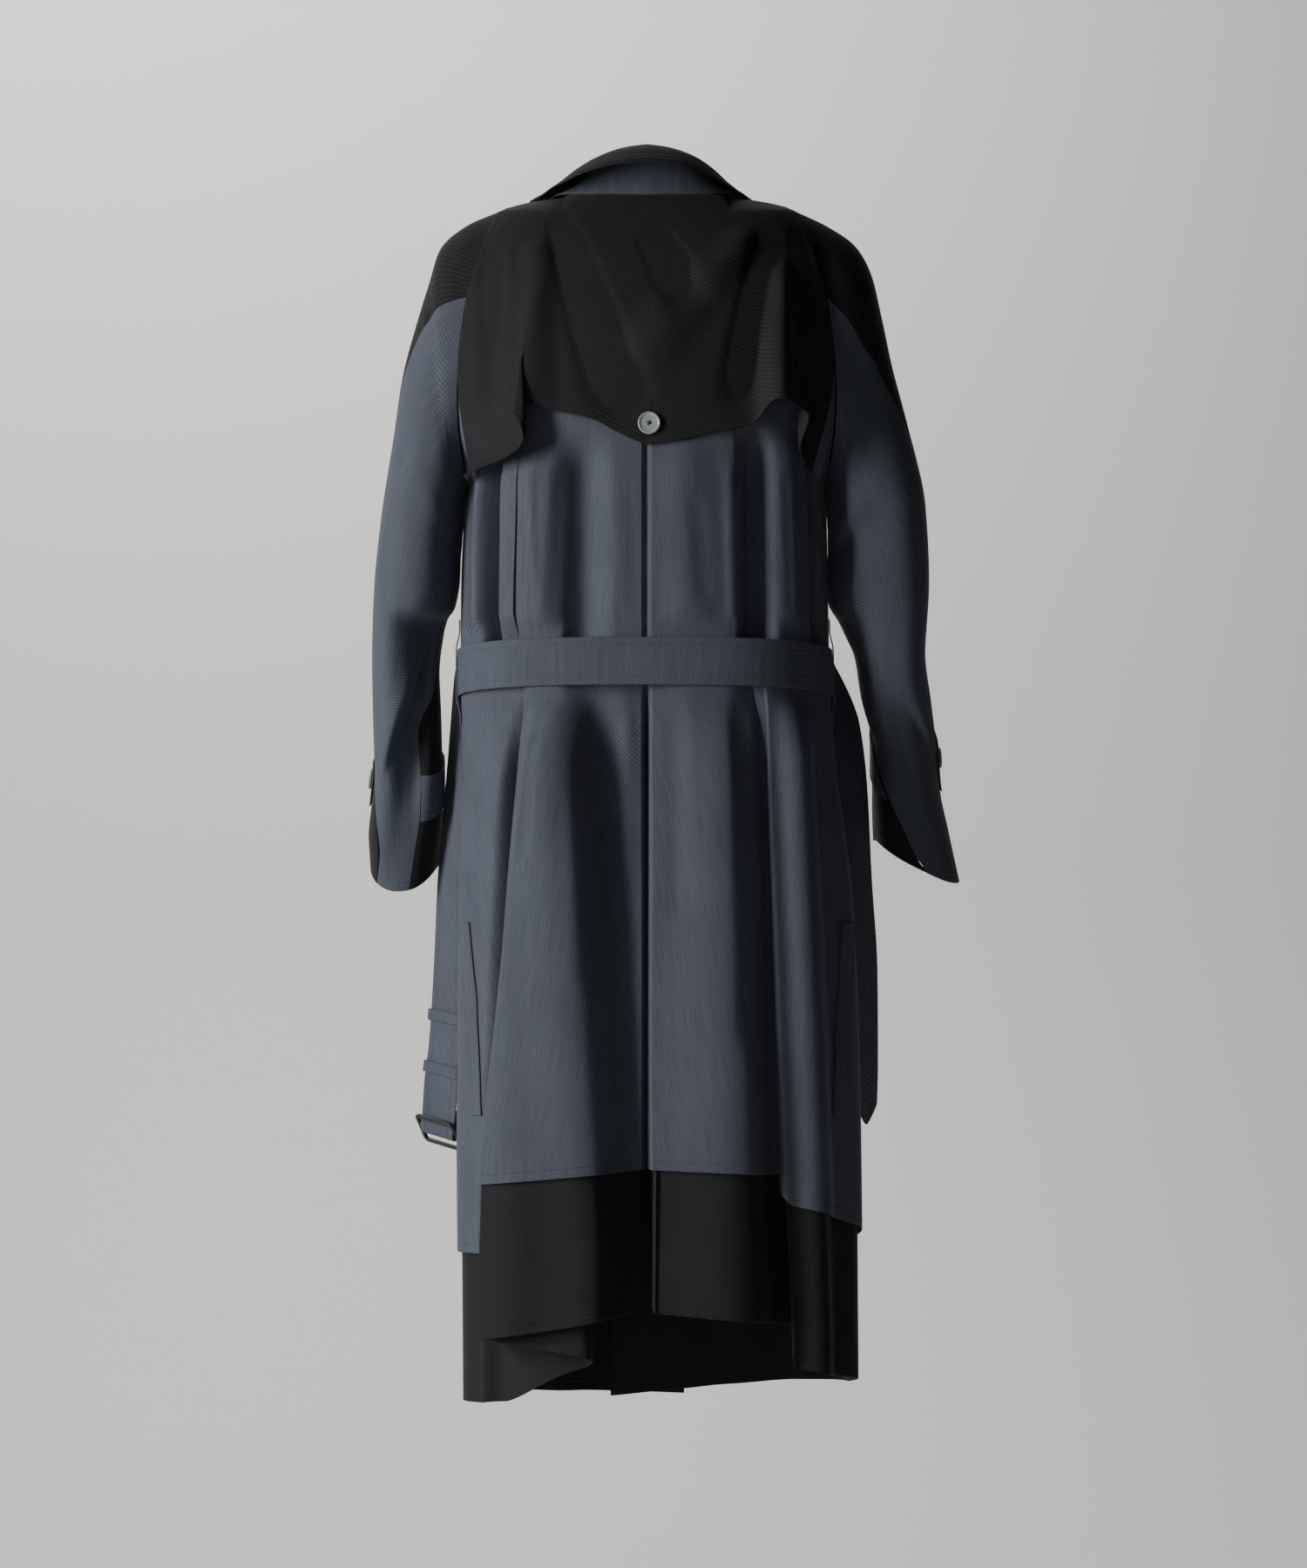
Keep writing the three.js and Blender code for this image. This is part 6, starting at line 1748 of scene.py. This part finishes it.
def stitch_tree():
    tree = bpy.data.node_groups.new("stitches along a line", "GeometryNodeTree")
    tree.interface.new_socket("Line", in_out="INPUT", socket_type="NodeSocketGeometry")
    for name, kind, value in STITCH_INPUTS:
        socket = tree.interface.new_socket(name, in_out="INPUT", socket_type=kind)
        if value is not None:
            socket.default_value = value
    tree.interface.new_socket("Stitches", in_out="OUTPUT", socket_type="NodeSocketGeometry")
    given = add_node(tree, "NodeGroupInput").outputs
    stepped = {"Curve": given["Line"], "Length": given["Pitch"]}
    steps = add_node(tree, "GeometryNodeCurveToPoints", {"mode": "LENGTH"}, stepped)
    small = {"Segments": 6, "Rings": 4, "Radius": given["Radius"]}
    ball = add_node(tree, "GeometryNodeMeshUVSphere", None, small)
    long = add_node(tree, "ShaderNodeMath", {"operation": "DIVIDE"}, {0: given["Length"], 1: given["Radius"]})
    half = add_node(tree, "ShaderNodeMath", {"operation": "MULTIPLY"}, {0: long.outputs[0], 1: 0.5})
    stretch = add_node(tree, "ShaderNodeCombineXYZ", None, {"X": 1.0, "Y": 1.0, "Z": half.outputs[0]})
    stretched = {"Geometry": ball.outputs["Mesh"], "Scale": stretch.outputs[0]}
    stitch = add_node(tree, "GeometryNodeTransform", None, stretched)
    along = {"Vector": steps.outputs["Tangent"]}
    aligned = add_node(tree, "FunctionNodeAlignRotationToVector", {"axis": "Z"}, along)
    uneven = add_node(tree, "FunctionNodeRandomValue", {"data_type": "FLOAT"}, {"Seed": given["Seed"]})
    uneven.inputs[2].default_value, uneven.inputs[3].default_value = STITCH_SIZES
    laid = add_node(
        tree,
        "GeometryNodeInstanceOnPoints",
        None,
        {
            "Points": steps.outputs["Points"],
            "Instance": stitch.outputs["Geometry"],
            "Rotation": aligned.outputs["Rotation"],
            "Scale": uneven.outputs[1],
        },
    )
    real = add_node(tree, "GeometryNodeRealizeInstances", None, {"Geometry": laid.outputs["Instances"]})
    threaded = {"Geometry": real.outputs[0], "Material": given["Thread"]}
    dressed = add_node(tree, "GeometryNodeSetMaterial", None, threaded)
    add_node(tree, "NodeGroupOutput", None, {"Stitches": dressed.outputs[0]})
    return tree

STITCHES = stitch_tree()

def stitched(name, lines, thread, seed=7):
    """One mesh of stitches along lines of points, in millimetres."""
    curve = bpy.data.curves.new(name, "CURVE")
    curve.dimensions = "3D"
    for line in lines:
        spline = curve.splines.new("POLY")
        spline.points.add(len(line) - 1)
        flat = np.concatenate([np.asarray(line) * MM, np.ones((len(line), 1))], axis=1)
        spline.points.foreach_set("co", flat.astype(np.float32).ravel())
    holder = bpy.data.objects.new(name, curve)
    bpy.context.scene.collection.objects.link(holder)
    modifier = holder.modifiers.new("stitches", "NODES")
    modifier.node_group = STITCHES
    sockets = {item.name: item.identifier for item in STITCHES.interface.items_tree if item.in_out == "INPUT"}
    modifier[sockets["Thread"]] = thread
    modifier[sockets["Seed"]] = seed
    graph = bpy.context.evaluated_depsgraph_get()
    mesh = bpy.data.meshes.new_from_object(holder.evaluated_get(graph))
    bpy.data.objects.remove(holder, do_unlink=True)
    mesh.polygons.foreach_set("use_smooth", np.ones(len(mesh.polygons), bool))
    piece = bpy.data.objects.new(name, mesh)
    bpy.context.scene.collection.objects.link(piece)
    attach(piece, "coat")
    return piece

def line_from_edge(name, side, inset, lift=0.12, start=0.0, end=1.0):
    """A line that follows one side of a piece at an inset from it, lying on the outer face."""
    grid, outward = made[name]["grid"], made[name]["outward"]
    lifted = grid + outward * lift
    if side in ("left", "right"):
        lifted = np.swapaxes(lifted, 0, 1)
    if side in ("bottom", "right"):
        lifted = lifted[::-1]
    run = np.concatenate(
        [np.zeros((1, lifted.shape[1])), np.cumsum(np.linalg.norm(np.diff(lifted, axis=0), axis=2), axis=0)]
    )
    columns = range(int(start * (lifted.shape[1] - 1)), int(end * (lifted.shape[1] - 1)) + 1)
    return np.array([[np.interp(inset, run[:, c], lifted[:, c, axis]) for axis in range(3)] for c in columns])

print("stitches:", STITCH_INPUTS[1][2] / MM, "mm long, one every", STITCH_INPUTS[0][2] / MM, "mm")

# %% [markdown]
# The lines are where a maker would sew them: along every hem, both edges of the belt, the borders of
# flap, collar, straps and welts, and beside the long seams. How far each lies from its edge is named here
# once.

# %% Stitch lines
SEWN_AT = dict(slate_hem=9.5, twill_hem=24, front_edge=8, cuff=14, sleeve_seam=5, strap=6, welt=3, belt=7,
               back_seam=6.5, flap_side=7, flap_hem=9, collar=5.5, stand=6)

def sew():
    slate_lines, black_lines = [], []
    for side in ("left", "right"):
        for facing in ("back", "front"):
            slate_lines.append(line_from_edge(f"{facing}_{side}_slate", "bottom", SEWN_AT["slate_hem"]))
            black_lines.append(line_from_edge(f"{facing}_{side}_under", "bottom", SEWN_AT["twill_hem"]))
        slate_lines.append(line_from_edge(f"front_{side}_slate", "right", SEWN_AT["front_edge"]))
        slate_lines.append(line_from_edge(f"sleeve_{side}_back_cloth", "bottom", SEWN_AT["cuff"]))
        black_lines.append(line_from_edge(f"sleeve_{side}_top_cloth", "bottom", SEWN_AT["cuff"]))
        for edge in ("left", "right"):
            black_lines.append(line_from_edge(f"sleeve_{side}_top_cloth", edge, SEWN_AT["sleeve_seam"]))
        for edge in ("top", "bottom"):
            slate_lines.append(line_from_edge(f"cuff_strap_{side}_cloth", edge, SEWN_AT["strap"]))
        for edge in ("left", "right"):
            slate_lines.append(line_from_edge(f"pocket_welt_{side}_cloth", edge, SEWN_AT["welt"]))
    for edge in ("top", "bottom"):
        slate_lines.append(line_from_edge("belt_cloth", edge, SEWN_AT["belt"]))
    slate_lines.append(line_from_edge("back_left_slate", "left", SEWN_AT["back_seam"]))
    for edge in ("left", "right"):
        black_lines.append(line_from_edge("storm_flap_cloth", edge, SEWN_AT["flap_side"]))
    black_lines.append(line_from_edge("storm_flap_cloth", "bottom", SEWN_AT["flap_hem"]))
    black_lines.append(line_from_edge("collar_fall_cloth", "top", SEWN_AT["collar"]))
    slate_lines.append(line_from_edge("collar_stand_cloth", "bottom", SEWN_AT["stand"]))
    black_lines.append(flap_buttonhole())
    slate_piece = stitched("slate_stitches", slate_lines, SLATE_THREAD)
    black_piece = stitched("black_stitches", black_lines, BLACK_THREAD, seed=11)
    print("stitches:", len(slate_piece.data.polygons), len(black_piece.data.polygons), "faces")

sew()

# %% [markdown]

# %% [markdown]
# ## Stage, light and camera
#
# A pale sweep stands far behind and below the coat: a floor that curves up into a wall, so that no corner
# shows. The main light is a tall soft one beside the coat's left, a little to the back of it, so the
# right side falls into shadow; a weak one near the camera opens the darkest folds. The backdrop has two
# lights of its own and is brighter at the top left. Sizes of the stage are in metres.

# %% The stage
SWEEP = dict(floor_z=-2.23, wall_y=-5.2, bend=1.84, half_width=14, near_y=9, top_z=6)

def sweep():
    """A floor that curves up into a wall, in one piece."""
    floor_z, wall_y, bend = SWEEP["floor_z"], SWEEP["wall_y"], SWEEP["bend"]
    run = [(y, floor_z) for y in np.linspace(SWEEP["near_y"], wall_y + bend, 6)]
    for angle in np.radians(np.linspace(8, 90, 14)):
        run.append((wall_y + bend - bend * math.sin(angle), floor_z + bend - bend * math.cos(angle)))
    run += [(wall_y, z) for z in np.linspace(floor_z + bend + 0.5, SWEEP["top_z"], 5)]
    vertices = [(x, y, z) for y, z in run for x in (-SWEEP["half_width"], SWEEP["half_width"])]
    faces = [(2 * i, 2 * i + 1, 2 * i + 3, 2 * i + 2) for i in range(len(run) - 1)]
    mesh = bpy.data.meshes.new("sweep")
    mesh.from_pydata(vertices, [], faces)
    mesh.polygons.foreach_set("use_smooth", np.ones(len(mesh.polygons), bool))
    stage = bpy.data.objects.new("sweep", mesh)
    bpy.context.scene.collection.objects.link(stage)
    stage.data.materials.append(plain_material("backdrop paper", "#c9c7c4", 0.9))

def area_light(name, at, target, size, power):
    light = bpy.data.lights.new(name, "AREA")
    light.shape = "RECTANGLE"
    light.size, light.size_y = size
    light.energy = power
    holder = bpy.data.objects.new(name, light)
    bpy.context.scene.collection.objects.link(holder)
    holder.location = at
    holder.rotation_euler = (Vector(target) - Vector(at)).to_track_quat("-Z", "Y").to_euler()
    return holder

sweep()
area_light("key", (2.8, 1.7, -0.05), (0, 0.1, -0.6), (0.8, 2.2), 106)
area_light("fill", (0.2, 3.7, -0.9), (0, 0, -0.7), (1.2, 1.6), 7)
area_light("backdrop top", (1.6, -2.2, 3.2), (1.1, -5.2, 0.9), (4.7, 1.3), 335)
area_light("backdrop low", (0.4, -2.6, -1.05), (0.4, -5.2, -0.9), (5.9, 0.8), 36)

world = bpy.data.worlds.new("studio")
world.use_nodes = True
world.node_tree.nodes["Background"].inputs["Color"].default_value = srgb("#dfe2e6")
world.node_tree.nodes["Background"].inputs["Strength"].default_value = 0.025
bpy.context.scene.world = world
print("lights:", len(bpy.data.lights))

# %% [markdown]
# The camera looks level at the back from about three metres. The lens is shifted instead of tilting the
# camera, which keeps the coat's long edges upright.

# %% The camera
CAMERA_AT = (-7, 3150, -857)
LENS = dict(sensor=36, distance=3000, seen=1584, shift=275 / 1800)

def camera():
    lens = bpy.data.cameras.new("camera")
    lens.sensor_fit = "AUTO"
    lens.sensor_width = LENS["sensor"]
    lens.lens = LENS["sensor"] * LENS["distance"] / LENS["seen"]
    lens.shift_y = LENS["shift"]
    holder = bpy.data.objects.new("camera", lens)
    bpy.context.scene.collection.objects.link(holder)
    holder.location = Vector(CAMERA_AT) * MM
    holder.rotation_euler = (math.radians(90), 0, math.radians(180))
    bpy.context.scene.camera = holder

camera()
note_size()
